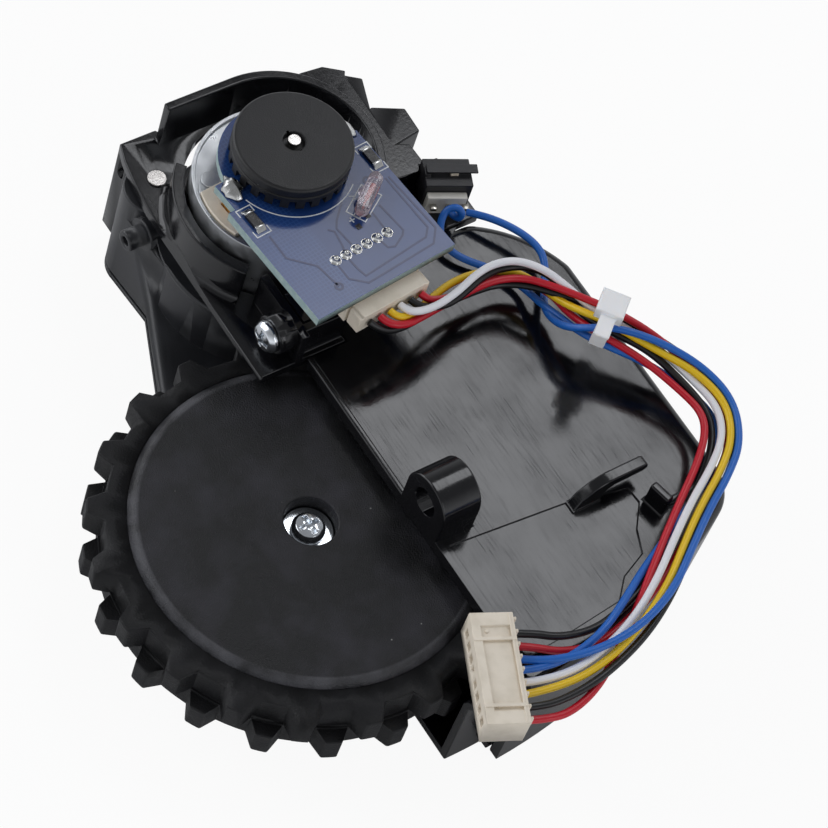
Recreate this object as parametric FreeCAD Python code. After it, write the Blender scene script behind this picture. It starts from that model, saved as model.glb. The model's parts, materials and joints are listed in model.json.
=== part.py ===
import FreeCAD, Part
import math
import os

# Drive wheel module of a small floor robot. Millimetres, +Z up.
# Origin: the wheel's axis at the underside. +X runs along the mouth of the wheel well,
# away from the swing pivot, and +Y points into the well.

V = FreeCAD.Vector
UP = V(0, 0, 1)

# gaps
run_gap = 0.04
body_gap = 0.3
seat_gap = 0.02

# swing arm
pivot_x = -61.0
pivot_y = 9.5
swing_max_deg = 20.0
motor_x = -47.0
motor_y = 21.6

# tyre and hub
tyre_radius = 33.0
tyre_low = 8.3
tyre_width = 11.0
tyre_bead_radius = 27.2
lug_height = 2.7
lug_count = 20
lug_tip_width = 2.4
lug_base_width = 5.0
lug_near_turn_deg = 2.8
lug_far_turn_deg = -6.2
sidewall_drop = 0.8
hub_top = 20.1
hub_crown = 0.7
hub_disc_thick = 2.2
hub_rim_wall = 2.0
hub_boss_radius = 6.2
hub_hole_radius = 4.1
hub_rib_count = 8
hub_rib_thick = 1.2

# gears, one module throughout
gear_module = 0.5
pressure_deg = 20.0
addendum_share = 0.85
dedendum_share = 1.2
tooth_thinning = 0.1
pinion_teeth = 12
first_wheel_teeth = 32
first_small_teeth = 14
second_wheel_teeth = 38
second_small_teeth = 14
third_wheel_teeth = 44
third_small_teeth = 14
output_teeth = 48
first_turn_deg = -5.7
second_turn_deg = 19.3

# gear case
case_cover_thick = 1.5
low_layer_bottom = 2.0
gear_width = 1.8
layer_step = 2.4
case_roof_bottom = 6.6
case_roof_top = 7.8
case_wall = 1.4
case_motor_radius = 16.5
case_wheel_radius = 15.8
cup_top = 19.3
knuckle_radius = 4.9
pin_radius = 1.5
gear_pin_radius = 0.9
neck_radius = 6.3
neck_top = 14.8
axle_radius = 3.0
axle_flat_depth = 0.5
bush_wall = 1.2

# motor
can_radius = 13.85
can_bottom = 8.9
can_top = 34.1
can_wall = 0.8
can_corner = 1.2
can_rim = 0.6
can_recess = 0.8
shaft_radius = 1.0
shaft_top = 44.7
bell_boss_radius = 5.0

# encoder board and drum
board_thick = 1.6
board_top = 39.3
board_turn_deg = 5.5
board_reach = 25.1
board_right = 13.7
board_left = 12.7
board_hole_radius = 2.6
board_disc_radius = 10.7
board_tab_reach = 12.5
board_tab_back = 1.9
drum_radius = 9.3
drum_low = 40.0
drum_top = 44.4
drum_wall = 1.1
drum_slot_count = 24
pin_pitch = 2.0
solder_reach = 18.1

# housing
plate_top = 23.7
plate_thick = 2.0
mouth_y = 13.0
back_y = 61.0
outer_wall_radius = 100.3
wall_thick = 2.0
cover_corner = 8.0
opening_radius = 14.4
collar_top = 30.8
collar_wall = 1.9
arc_wall_thick = 1.5
arc_wall_top = 32.6
bracket_front_y = 5.2
bracket_end_x = -23.1
bracket_band = 3.1
bracket_left_x = -69.2
back_skirt_wall = 1.3
screw_wall_y = 11.2
screw_wall_thick = 1.4
screw_wall_top = 30.2
screw_x = -27.0
screw_z = 27.8
screw_head_radius = 2.6
screw_radius = 1.3
liner_floor = 1.5
liner_inner_radius = 95.2
liner_wall = 1.4
liner_floor_radius = 84.0
liner_top = 18.8
liner_mouth_y = 5.9

# cords
wire_radius = 0.6

washer_low = 17.3
washer_thick = 0.6
wheel_screw_head = 2.6
knuckle_top = 21.4
web_top = 17.0
ear_radius = 2.3
post_x = -56.2
post_z = 17.8
post_end_y = 1.8
post_root_y = 4.9
post_root_wall = 1.0
post_radius = 1.75
post_bore = 0.8
motor_boss_radius = 3.0
spring_cup_radius = 3.1
spring_low = 13.0
spring_radius = 2.3
spring_wire = 0.6
bush_length = 6.0
board_pin_count = 6
header_low = 32.8
header_back = 17.0
board_plug_reach = 27.3
fin_x = 15.7
fin_thick = 1.9
lamp_radius = 1.1
lamp_height = 3.0
chip_places = [(6.2, -11.4), (6.0, 11.4)]

screw_boss_radius = 3.2
screw_boss_reach = 3.0
tube_boss_x = 8.2
tube_boss_z = 28.8
tube_boss_radius = 4.75
tube_boss_bore = 2.3
tube_boss_length = 6.9
post_places = [(19.5, 54.5), (-22.0, 53.5)]
switch_x = -39.9
switch_y = 49.1
switch_turn_deg = 65.0
switch_pins = [-2.3, 0.3, 2.9]
switch_length = 7.6
switch_width = 5.2
switch_height = 5.6
plunger_along = 1.0
plunger_side = 1.2
plunger_rise = 0.5
plunger_room = 0.6
plunger_low = 2.0
lever_along = -3.4
lever_lift = 0.3
lever_thick = 0.3
lever_roll = 0.25
plug_x = 36.3
plug_y = 7.3
plug_turn_deg = -25.2
plug_low = 24.4
plug_height = 5.5
plug_depth = 6.5
plug_ways = 8
tie_x = -4.5
tie_y = 54.0
tie_z = 32.6
tie_turn_deg = 38.0

pivot = V(pivot_x, pivot_y, 0)
motor = V(motor_x, motor_y, 0)
wheel = V(0, 0, 0)
plate_under = plate_top - plate_thick
plate_level = can_top - can_recess
tyre_top = tyre_low + tyre_width
board_bottom = board_top - board_thick

parts = {}


def at(p, z):
    return V(p.x, p.y, z)


def ray(p, radius, deg, z=0.0):
    a = math.radians(deg)
    return V(p.x + radius * math.cos(a), p.y + radius * math.sin(a), z)


def cyl(p, radius, low, high, direction=UP):
    return Part.makeCylinder(radius, high - low, at(p, low), direction)


def tube(p, outer, inner, low, high):
    return cyl(p, outer, low, high).cut(cyl(p, inner, low - 1, high + 1))


def block(x0, y0, z0, x1, y1, z1):
    return Part.makeBox(x1 - x0, y1 - y0, z1 - z0, V(x0, y0, z0))


def prism(points, low, high):
    corners = [V(x, y, low) for x, y in points]
    face = Part.Face(Part.makePolygon(corners + [corners[0]]))
    return face.extrude(V(0, 0, high - low))


def rod(start, end, radius):
    way = end.sub(start)
    return Part.makeCylinder(radius, way.Length, start, way)


def revolve(points, p):
    # points are (radius, z) round a vertical axis at p
    corners = [V(p.x + r, p.y, z) for r, z in points]
    face = Part.Face(Part.makePolygon(corners + [corners[0]]))
    return face.revolve(at(p, 0), UP, 360)


def join(shapes):
    whole = shapes[0].multiFuse(shapes[1:]) if len(shapes) > 1 else shapes[0]
    return whole.removeSplitter()


def hull_two(p, rp, q, rq, low, high):
    # two discs and their outer tangents
    way = q.sub(p)
    turn = math.degrees(math.atan2(way.y, way.x))
    lean = math.degrees(math.acos((rp - rq) / way.Length))
    corners = [ray(p, rp, turn + lean), ray(q, rq, turn + lean), ray(q, rq, turn - lean), ray(p, rp, turn - lean)]
    web = prism([(c.x, c.y) for c in corners], low, high)
    return join([cyl(p, rp, low, high), cyl(q, rq, low, high), web])


def swung(p, deg):
    a = math.radians(deg)
    dx = p.x - pivot.x
    dy = p.y - pivot.y
    return V(pivot.x + dx * math.cos(a) - dy * math.sin(a), pivot.y + dx * math.sin(a) + dy * math.cos(a), 0)


def sector(inner, outer, from_deg, to_deg, low, high):
    # a ring sector round the swing pivot
    mid = (from_deg + to_deg) / 2
    edges = [
        Part.Arc(ray(pivot, outer, from_deg, low), ray(pivot, outer, mid, low), ray(pivot, outer, to_deg, low)).toShape(),
        Part.LineSegment(ray(pivot, outer, to_deg, low), ray(pivot, inner, to_deg, low)).toShape(),
        Part.Arc(ray(pivot, inner, to_deg, low), ray(pivot, inner, mid, low), ray(pivot, inner, from_deg, low)).toShape(),
        Part.LineSegment(ray(pivot, inner, from_deg, low), ray(pivot, outer, from_deg, low)).toShape(),
    ]
    return Part.Face(Part.Wire(edges)).extrude(V(0, 0, high - low))


motor_far = swung(motor, swing_max_deg)


def motor_sweep(radius, low, high):
    # the room that a cylinder on the motor's axis takes while the arm swings
    mid = swung(motor, swing_max_deg / 2)
    first = hull_two(motor, radius, mid, radius - 0.001, low, high)
    second = hull_two(mid, radius, motor_far, radius - 0.001, low, high)
    return join([first, second])


# gears

def gear_radius(teeth):
    return gear_module * teeth / 2


def involute_point(base, radius):
    a = math.acos(min(1.0, base / max(base, radius)))
    return math.tan(a) - a


def gear(p, teeth, low, high, turn_deg):
    pitch = gear_radius(teeth)
    tip = pitch + addendum_share * gear_module
    root = pitch - dedendum_share * gear_module
    base = pitch * math.cos(math.radians(pressure_deg))
    start = base if base > root + 0.01 else root
    has_foot = start > root
    half_thick = math.pi / (2 * teeth) - tooth_thinning / 2 / pitch
    at_pitch = involute_point(base, pitch)

    def flank(radius, side, centre):
        a = centre + side * (half_thick + at_pitch - involute_point(base, radius))
        return V(p.x + radius * math.cos(a), p.y + radius * math.sin(a), low)

    edges = []
    step = 2 * math.pi / teeth
    for i in range(teeth):
        c = math.radians(turn_deg) + i * step
        middle = (start + tip) / 2
        root_angle = half_thick + at_pitch - involute_point(base, start)
        foot_in = ray(p, root, math.degrees(c - root_angle), low)
        foot_out = ray(p, root, math.degrees(c + root_angle), low)
        next_foot = ray(p, root, math.degrees(c + step - root_angle), low)
        if has_foot:
            edges.append(Part.LineSegment(foot_in, flank(start, -1, c)).toShape())
        edges.append(Part.Arc(flank(start, -1, c), flank(middle, -1, c), flank(tip, -1, c)).toShape())
        edges.append(Part.Arc(flank(tip, -1, c), ray(p, tip, math.degrees(c), low), flank(tip, 1, c)).toShape())
        edges.append(Part.Arc(flank(tip, 1, c), flank(middle, 1, c), flank(start, 1, c)).toShape())
        if has_foot:
            edges.append(Part.LineSegment(flank(start, 1, c), foot_out).toShape())
        valley = ray(p, root, math.degrees(c + step / 2), low)
        edges.append(Part.Arc(foot_out, valley, next_foot).toShape())
    return Part.Face(Part.Wire(edges)).extrude(V(0, 0, high - low))


low_layer = (low_layer_bottom, low_layer_bottom + gear_width)
high_layer = (low_layer_bottom + layer_step, low_layer_bottom + layer_step + gear_width)

step_one = gear_radius(pinion_teeth) + gear_radius(first_wheel_teeth)
step_two = gear_radius(first_small_teeth) + gear_radius(second_wheel_teeth)
step_three = gear_radius(second_small_teeth) + gear_radius(third_wheel_teeth)
step_four = gear_radius(third_small_teeth) + gear_radius(output_teeth)
line_deg = math.degrees(math.atan2(-motor.y, -motor.x))
idler_one = ray(motor, step_one, line_deg + first_turn_deg)
idler_two = ray(idler_one, step_two, line_deg + second_turn_deg)


def two_circles(p, rp, q, rq):
    # where circles round p and q meet, on the left of the way from p to q
    way = q.sub(p)
    d = way.Length
    along = (rp * rp - rq * rq + d * d) / (2 * d)
    off = math.sqrt(rp * rp - along * along)
    ux = way.x / d
    uy = way.y / d
    return V(p.x + along * ux + off * uy, p.y + along * uy - off * ux, 0)


idler_three = two_circles(idler_two, step_three, wheel, step_four)


def heading(p, q):
    return math.degrees(math.atan2(q.y - p.y, q.x - p.x))


def mesh_turn(p, q, driver_turn, driver_teeth, teeth):
    # turn of the gear at q that puts a gap where the gear at p has its tooth
    way = heading(p, q)
    driver_pitch = 360.0 / driver_teeth
    own_pitch = 360.0 / teeth
    phase = (way - driver_turn) / driver_pitch
    phase -= math.floor(phase)
    return way + 180 + own_pitch / 2 + phase * own_pitch


pinion_turn = 0.0
first_turn = mesh_turn(motor, idler_one, pinion_turn, pinion_teeth, first_wheel_teeth)
second_turn = mesh_turn(idler_one, idler_two, 0.0, first_small_teeth, second_wheel_teeth)
third_turn = mesh_turn(idler_two, idler_three, 0.0, second_small_teeth, third_wheel_teeth)
output_turn = mesh_turn(idler_three, wheel, 0.0, third_small_teeth, output_teeth)


def compound(p, wheel_teeth, wheel_layer, wheel_turn, small_teeth, small_layer):
    big = gear(p, wheel_teeth, wheel_layer[0], wheel_layer[1], wheel_turn)
    small = gear(p, small_teeth, small_layer[0], small_layer[1], 0.0)
    low = min(wheel_layer[0], small_layer[0])
    high = max(wheel_layer[1], small_layer[1])
    collar = cyl(p, gear_radius(small_teeth) - dedendum_share * gear_module, low, high)
    bore = cyl(p, gear_pin_radius + run_gap, low - 1, high + 1)
    return join([big, small, collar]).cut(bore)


def make_gears():
    shaft_bore = cyl(motor, shaft_radius - seat_gap / 2, 0, 20)
    parts["motor_pinion"] = gear(motor, pinion_teeth, low_layer[0], low_layer[1] + 0.6, pinion_turn).cut(shaft_bore)
    parts["idler_gear_1"] = compound(idler_one, first_wheel_teeth, low_layer, first_turn, first_small_teeth, high_layer)
    parts["idler_gear_2"] = compound(idler_two, second_wheel_teeth, high_layer, second_turn, second_small_teeth, low_layer)
    parts["idler_gear_3"] = compound(idler_three, third_wheel_teeth, low_layer, third_turn, third_small_teeth, high_layer)
    output = gear(wheel, output_teeth, high_layer[0], high_layer[1], output_turn)
    boss = cyl(wheel, axle_radius + 0.9, low_layer[0], high_layer[1])
    parts["output_gear"] = join([output, boss]).cut(cyl(wheel, axle_radius, 0, 20))
    pins = [cyl(p, gear_pin_radius, 0.6, case_roof_bottom + 0.7) for p in (idler_one, idler_two, idler_three)]
    parts["gear_pins"] = Part.makeCompound(pins)



# wheel

def lug_ring(low, high, turn_deg):
    # one row of tread lugs with rounded valleys between them
    valley = tyre_radius - lug_height
    step = 360.0 / lug_count
    tip_half = math.degrees(lug_tip_width / 2 / tyre_radius)
    base_half = math.degrees(lug_base_width / 2 / valley)
    edges = []
    for i in range(lug_count):
        c = turn_deg + i * step
        foot_in = ray(wheel, valley, c - base_half, low)
        tip_in = ray(wheel, tyre_radius, c - tip_half, low)
        tip_out = ray(wheel, tyre_radius, c + tip_half, low)
        foot_out = ray(wheel, valley, c + base_half, low)
        next_in = ray(wheel, valley, c + step - base_half, low)
        edges.append(Part.LineSegment(foot_in, tip_in).toShape())
        edges.append(Part.Arc(tip_in, ray(wheel, tyre_radius, c, low), tip_out).toShape())
        edges.append(Part.LineSegment(tip_out, foot_out).toShape())
        edges.append(Part.Arc(foot_out, ray(wheel, valley, c + step / 2, low), next_in).toShape())
    return Part.Face(Part.Wire(edges)).extrude(V(0, 0, high - low))


def axle_section(radius, low, high):
    # round bar with two flats
    bar = cyl(wheel, radius, low, high)
    half = axle_radius - axle_flat_depth + radius - axle_radius
    return bar.common(block(-radius, -half, low, radius, half, high))


def make_wheel():
    middle = tyre_low + tyre_width / 2
    bead = tyre_bead_radius
    band = revolve([(0, tyre_low), (tyre_radius - lug_height, tyre_low), (tyre_radius - lug_height, tyre_top), (0, tyre_top)], wheel)
    near = lug_ring(middle, tyre_top, lug_near_turn_deg)
    far = lug_ring(tyre_low, middle, lug_far_turn_deg)
    ridge = cyl(wheel, tyre_radius - lug_height + 0.4, middle - 0.35, middle + 0.35)
    slope_top = revolve([(bead, tyre_top), (tyre_radius + 1, tyre_top - sidewall_drop), (tyre_radius + 1, tyre_top + 1), (bead, tyre_top + 1)], wheel)
    slope_low = revolve([(bead, tyre_low), (tyre_radius + 1, tyre_low + sidewall_drop), (tyre_radius + 1, tyre_low - 1), (bead, tyre_low - 1)], wheel)
    rubber = join([band, near, far, ridge]).cut(slope_top).cut(slope_low)
    parts["tyre"] = rubber.cut(cyl(wheel, bead, 0, 30))

    rim_outer = bead - seat_gap
    rim_inner = rim_outer - hub_rim_wall
    crease = hub_top
    inner_top = hub_top - hub_disc_thick
    profile = [
        (0, inner_top), (rim_inner - 1.2, inner_top), (rim_inner, inner_top - 1.2), (rim_inner, tyre_low + 0.2),
        (rim_outer, tyre_low + 0.2), (rim_outer, tyre_top - 0.1), (rim_outer - 1.2, crease),
        (rim_outer * 0.6, crease + hub_crown * 0.6), (hub_hole_radius + 1, crease + hub_crown), (0, crease + hub_crown),
    ]
    disc = revolve(profile, wheel)
    boss = cyl(wheel, hub_boss_radius, neck_top + body_gap, inner_top + 0.1)
    ribs = []
    for i in range(hub_rib_count):
        rib = block(hub_boss_radius - 0.5, -hub_rib_thick / 2, neck_top + 1.2, rim_inner + 0.3, hub_rib_thick / 2, inner_top + 0.1)
        rib.rotate(V(0, 0, 0), UP, (i + 0.5) * 360.0 / hub_rib_count)
        ribs.append(rib)
    body = join([disc, boss] + ribs)
    body = body.cut(cyl(wheel, hub_hole_radius, washer_low, 30))
    parts["wheel_hub"] = body.cut(axle_section(axle_radius + seat_gap, 0, washer_low + 0.1))

    round_part = cyl(wheel, axle_radius, case_cover_thick + 0.3, neck_top + 0.1)
    flat_part = axle_section(axle_radius, neck_top, washer_low)
    thread = cyl(wheel, screw_radius, washer_low - 8, 40)
    parts["wheel_axle"] = join([round_part, flat_part]).cut(thread)
    parts["wheel_washer"] = tube(wheel, hub_hole_radius - 0.15, screw_radius + 0.15, washer_low, washer_low + washer_thick)
    parts["wheel_screw"] = pan_screw(V(0, 0, washer_low + washer_thick), UP, wheel_screw_head, 1.9, 7.0)


def pan_screw(seat, out, head_radius, head_height, length):
    # cross-recess pan head, its seat at the given point and its head towards out
    edge = 0.45
    points = [(0, -length), (screw_radius - 0.25, -length), (screw_radius - seat_gap, -length + 0.6), (screw_radius - seat_gap, 0)]
    points += [(head_radius, 0), (head_radius, head_height * edge), (head_radius * 0.8, head_height * 0.85), (head_radius * 0.4, head_height), (0, head_height)]
    whole = revolve(points, V(0, 0, 0))
    arm = head_radius * 0.62
    slot = 0.35
    cross = join([block(-arm, -slot, head_height * 0.35, arm, slot, head_height + 1), block(-slot, -arm, head_height * 0.35, slot, arm, head_height + 1)])
    whole = whole.cut(cross)
    turn = FreeCAD.Rotation(UP, out)
    whole.Placement = FreeCAD.Placement(seat, turn)
    return whole


# gear case

ear_places = [ray(wheel, case_wheel_radius + 1.6, 25), ray(wheel, case_wheel_radius + 1.6, -75)]
inner_posts = [ray(motor, 11.8, 120), ray(motor, 11.8, 215), ray(motor, 11.8, 255)]


def make_case():
    low = case_cover_thick
    shell = hull_two(motor, case_motor_radius, wheel, case_wheel_radius, low, case_roof_top)
    cup = cyl(motor, case_motor_radius, low, cup_top)
    ridge = revolve([(case_motor_radius - 1, cup_top - 1.3), (case_motor_radius + 0.5, cup_top - 0.9), (case_motor_radius + 0.5, cup_top), (case_motor_radius - 1, cup_top)], motor)
    knuckle = cyl(pivot, knuckle_radius, low, knuckle_top)
    web = prism([(pivot_x, pivot_y - knuckle_radius), (motor_x - 3, motor_y - case_motor_radius + 0.25),
                 (motor_x - 3, motor_y), (motor_x - 10, motor_y), (pivot_x, pivot_y + knuckle_radius)], low, web_top)
    neck = cyl(wheel, neck_radius, case_roof_bottom, neck_top)
    ears = [cyl(p, ear_radius, low, case_roof_top) for p in ear_places]
    post = rod(V(post_x, pivot_y, post_z), V(post_x, post_end_y, post_z), post_radius)
    post_root = rod(V(post_x, pivot_y, post_z), V(post_x, post_root_y, post_z), post_radius + post_root_wall)
    body = join([shell, cup, ridge, knuckle, web, neck, post, post_root] + ears)
    hollow = hull_two(motor, case_motor_radius - case_wall, wheel, case_wheel_radius - case_wall, low - 1, case_roof_bottom)
    body = body.cut(hollow)
    body = body.cut(cyl(motor, can_radius + 0.05, can_bottom, cup_top + 5))
    body = body.cut(cyl(motor, motor_boss_radius + 0.05, low, can_bottom + 1))
    body = body.cut(cyl(pivot, pin_radius + run_gap, low - 1, knuckle_top + 1))
    body = body.cut(cyl(pivot, spring_cup_radius, spring_low - 0.2, knuckle_top + 1))
    body = body.cut(cyl(wheel, axle_radius + bush_wall + seat_gap, neck_top - bush_length, neck_top + 1))
    body = body.cut(cyl(wheel, axle_radius + 0.4, low - 1, neck_top))
    for p in (idler_one, idler_two, idler_three):
        body = body.cut(cyl(p, gear_pin_radius + seat_gap, low, case_roof_bottom + 0.75))
    body = body.cut(rod(V(post_x, post_end_y - 1, post_z), V(post_x, post_end_y + 4, post_z), post_bore))
    posts = [cyl(p, ear_radius, low, case_roof_bottom + 0.1) for p in inner_posts]
    body = join([body] + posts)
    for p in ear_places + inner_posts:
        body = body.cut(cyl(p, screw_radius - 0.3, low - 1, case_roof_top - 0.8))
    parts["gearbox_case"] = body

    plate = hull_two(motor, case_motor_radius, wheel, case_wheel_radius, 0, low - seat_gap)
    knuckle_plate = cyl(pivot, knuckle_radius, 0, low - seat_gap)
    web_plate = prism([(pivot_x, pivot_y - knuckle_radius), (motor_x - 3, motor_y - case_motor_radius + 0.25),
                       (motor_x - 3, motor_y), (pivot_x, pivot_y + knuckle_radius)], 0, low - seat_gap)
    ear_plates = [cyl(p, ear_radius, 0, low - seat_gap) for p in ear_places]
    cover = join([plate, knuckle_plate, web_plate] + ear_plates)
    for p in (idler_one, idler_two, idler_three):
        cover = cover.cut(cyl(p, gear_pin_radius + seat_gap, 0.55, low))
    for p in ear_places + inner_posts:
        cover = cover.cut(cyl(p, screw_radius - 0.2, -1, low + 1))
        cover = cover.cut(cyl(p, 2.1, -1, 1.0))
    parts["gearbox_cover"] = cover
    screws = []
    for p in ear_places + inner_posts:
        head = cyl(p, 2.0, 0.1, 1.0 - seat_gap)
        shank = cyl(p, screw_radius - 0.3 - seat_gap, 0.9, case_roof_bottom - 1.2)
        cross = join([block(p.x - 1.2, p.y - 0.25, 0, p.x + 1.2, p.y + 0.25, 0.5), block(p.x - 0.25, p.y - 1.2, 0, p.x + 0.25, p.y + 1.2, 0.5)])
        screws.append(join([head, shank]).cut(cross))
    parts["gearbox_screws"] = Part.makeCompound(screws)
    parts["axle_bush"] = tube(wheel, axle_radius + bush_wall, axle_radius + run_gap, neck_top - bush_length, neck_top)

    # return spring round the pivot pin: a close coil with a leg up into the bracket
    turns = 5
    pitch = (knuckle_top - spring_low - 1.6) / turns
    helix = Part.makeHelix(pitch, pitch * turns, spring_radius)
    start = V(spring_radius, 0, 0)
    ring = Part.Wire(Part.makeCircle(spring_wire / 2, start, V(0, 1, 0)))
    coil = Part.Wire(helix.Edges).makePipeShell([ring], True, True)
    coil.translate(at(pivot, spring_low + spring_wire / 2))
    parts["arm_spring"] = coil
    parts["pivot_pin"] = cyl(pivot, pin_radius, low + 0.4, plate_top + 0.4)


# motor

def make_motor():
    can = cyl(motor, can_radius, can_bottom, can_top)
    rims = [e for e in can.Edges if isinstance(e.Curve, Part.Circle)]
    can = can.makeFillet(can_corner, [e for e in rims if e.CenterOfMass.z < can_bottom + 1])
    can = can.cut(cyl(motor, can_radius - can_rim, plate_level, can_top + 1))
    can = can.cut(cyl(motor, can_radius - can_wall, can_bottom + can_wall, plate_level - can_wall))
    can = can.cut(cyl(motor, bell_boss_radius + 0.1, can_top - 2, can_top + 1))
    can = can.cut(cyl(motor, motor_boss_radius - 0.9, 0, can_bottom + 2))
    for deg in (-85, 95):
        window = block(8.2, -4.55, can_top - 3, 14, 4.55, can_top + 1).common(cyl(V(0, 0, 0), can_radius - can_rim - 0.05, 0, 60))
        window.rotate(V(0, 0, 0), UP, deg)
        window.translate(motor)
        can = can.cut(window)
    parts["motor_can"] = can

    bell = cyl(motor, can_radius - can_wall - 0.05, plate_level - can_wall - 1.6, plate_level - can_wall - seat_gap)
    boss = cyl(motor, bell_boss_radius, plate_level - can_wall - 1.5, board_bottom - seat_gap)
    tabs = []
    for deg in (-85, 95):
        tab = block(8.35, -4.4, can_top - 3, 14, 4.4, can_top + 0.3).common(cyl(V(0, 0, 0), can_radius - can_rim - 0.2, 0, 60))
        tab.rotate(V(0, 0, 0), UP, deg)
        tab.translate(motor)
        tabs.append(tab)
    cap = join([bell, boss] + tabs).cut(cyl(motor, shaft_radius + 0.5, 20, 45))
    terminals = []
    for deg in (-85, 95):
        strip = block(10.4, -1.1, can_top - 1.0, 10.9, 1.1, board_top + 0.5)
        slot = block(10.38, -1.12, 20, 10.92, 1.12, board_top + 2)
        for shape in (strip, slot):
            shape.rotate(V(0, 0, 0), UP, deg)
            shape.translate(motor)
        terminals.append(strip)
        cap = cap.cut(slot)
    parts["motor_end_cap"] = cap
    parts["motor_terminals"] = Part.makeCompound(terminals)
    low_bearing = tube(motor, motor_boss_radius - 0.92, shaft_radius + run_gap, can_bottom - 1.4, can_bottom + can_wall)
    flange = tube(motor, motor_boss_radius + 1.5, shaft_radius + run_gap, can_bottom + can_wall + seat_gap, can_bottom + can_wall + 1.2)
    parts["motor_bearing"] = join([low_bearing, flange, tube(motor, motor_boss_radius - 0.92, shaft_radius + run_gap, can_bottom, can_bottom + can_wall + 1)])
    parts["motor_shaft"] = cyl(motor, shaft_radius, low_layer_bottom - 0.2, shaft_top)

    inner = can_radius - can_wall
    shells = []
    for deg in (0, 180):
        shell = tube(motor, inner - 0.05, inner - 3.0, can_bottom + 4, can_top - 6)
        side = block(0, -20, 0, 20, 20, 50)
        trim = block(-20, -4.0, 0, 20, 4.0, 50)
        for tool in (side, trim):
            tool.rotate(V(0, 0, 0), UP, deg + 5)
            tool.translate(motor)
        gap = trim.copy()
        gap.rotate(motor, UP, 90)
        shells.append(shell.common(side).cut(gap))
    parts["motor_magnets"] = Part.makeCompound(shells)
    core_radius = inner - 3.4
    core = cyl(motor, 3.2, can_bottom + 6, can_top - 8)
    poles = [core]
    coils = []
    for i in range(3):
        arm = block(0, -1.4, can_bottom + 6, core_radius - 0.5, 1.4, can_top - 8)
        shoe = tube(V(0, 0, 0), core_radius, core_radius - 1.2, can_bottom + 6, can_top - 8)
        keep = prism([(0, 0), (20, -13.5), (20, 13.5)], 0, 50)
        shoe = shoe.common(keep)
        coil = block(4.0, -3.4, can_bottom + 4.8, math.sqrt((core_radius - 1.3) ** 2 - 3.4 ** 2), 3.4, can_top - 6.8)
        coil = coil.cut(block(0, -1.45, can_bottom + 5.9, core_radius, 1.45, can_top - 7.9))
        for shape in (arm, shoe, coil):
            shape.rotate(V(0, 0, 0), UP, i * 120 + 20)
            shape.translate(motor)
        poles += [arm, shoe]
        coils.append(coil)
    parts["armature_core"] = join(poles).cut(cyl(motor, shaft_radius, 0, 50))
    parts["armature_windings"] = Part.makeCompound(coils)
    parts["commutator"] = tube(motor, 2.6, shaft_radius, plate_level - 5.6, plate_level - can_wall - 1.7)


# encoder drum and board

def board_point(along, across, z=0.0):
    a = math.radians(board_turn_deg)
    return V(motor.x + along * math.cos(a) - across * math.sin(a), motor.y + along * math.sin(a) + across * math.cos(a), z)


def board_block(a0, b0, z0, a1, b1, z1):
    shape = block(a0, b0, z0, a1, b1, z1)
    shape.rotate(V(0, 0, 0), UP, board_turn_deg)
    shape.translate(motor)
    return shape


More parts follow.
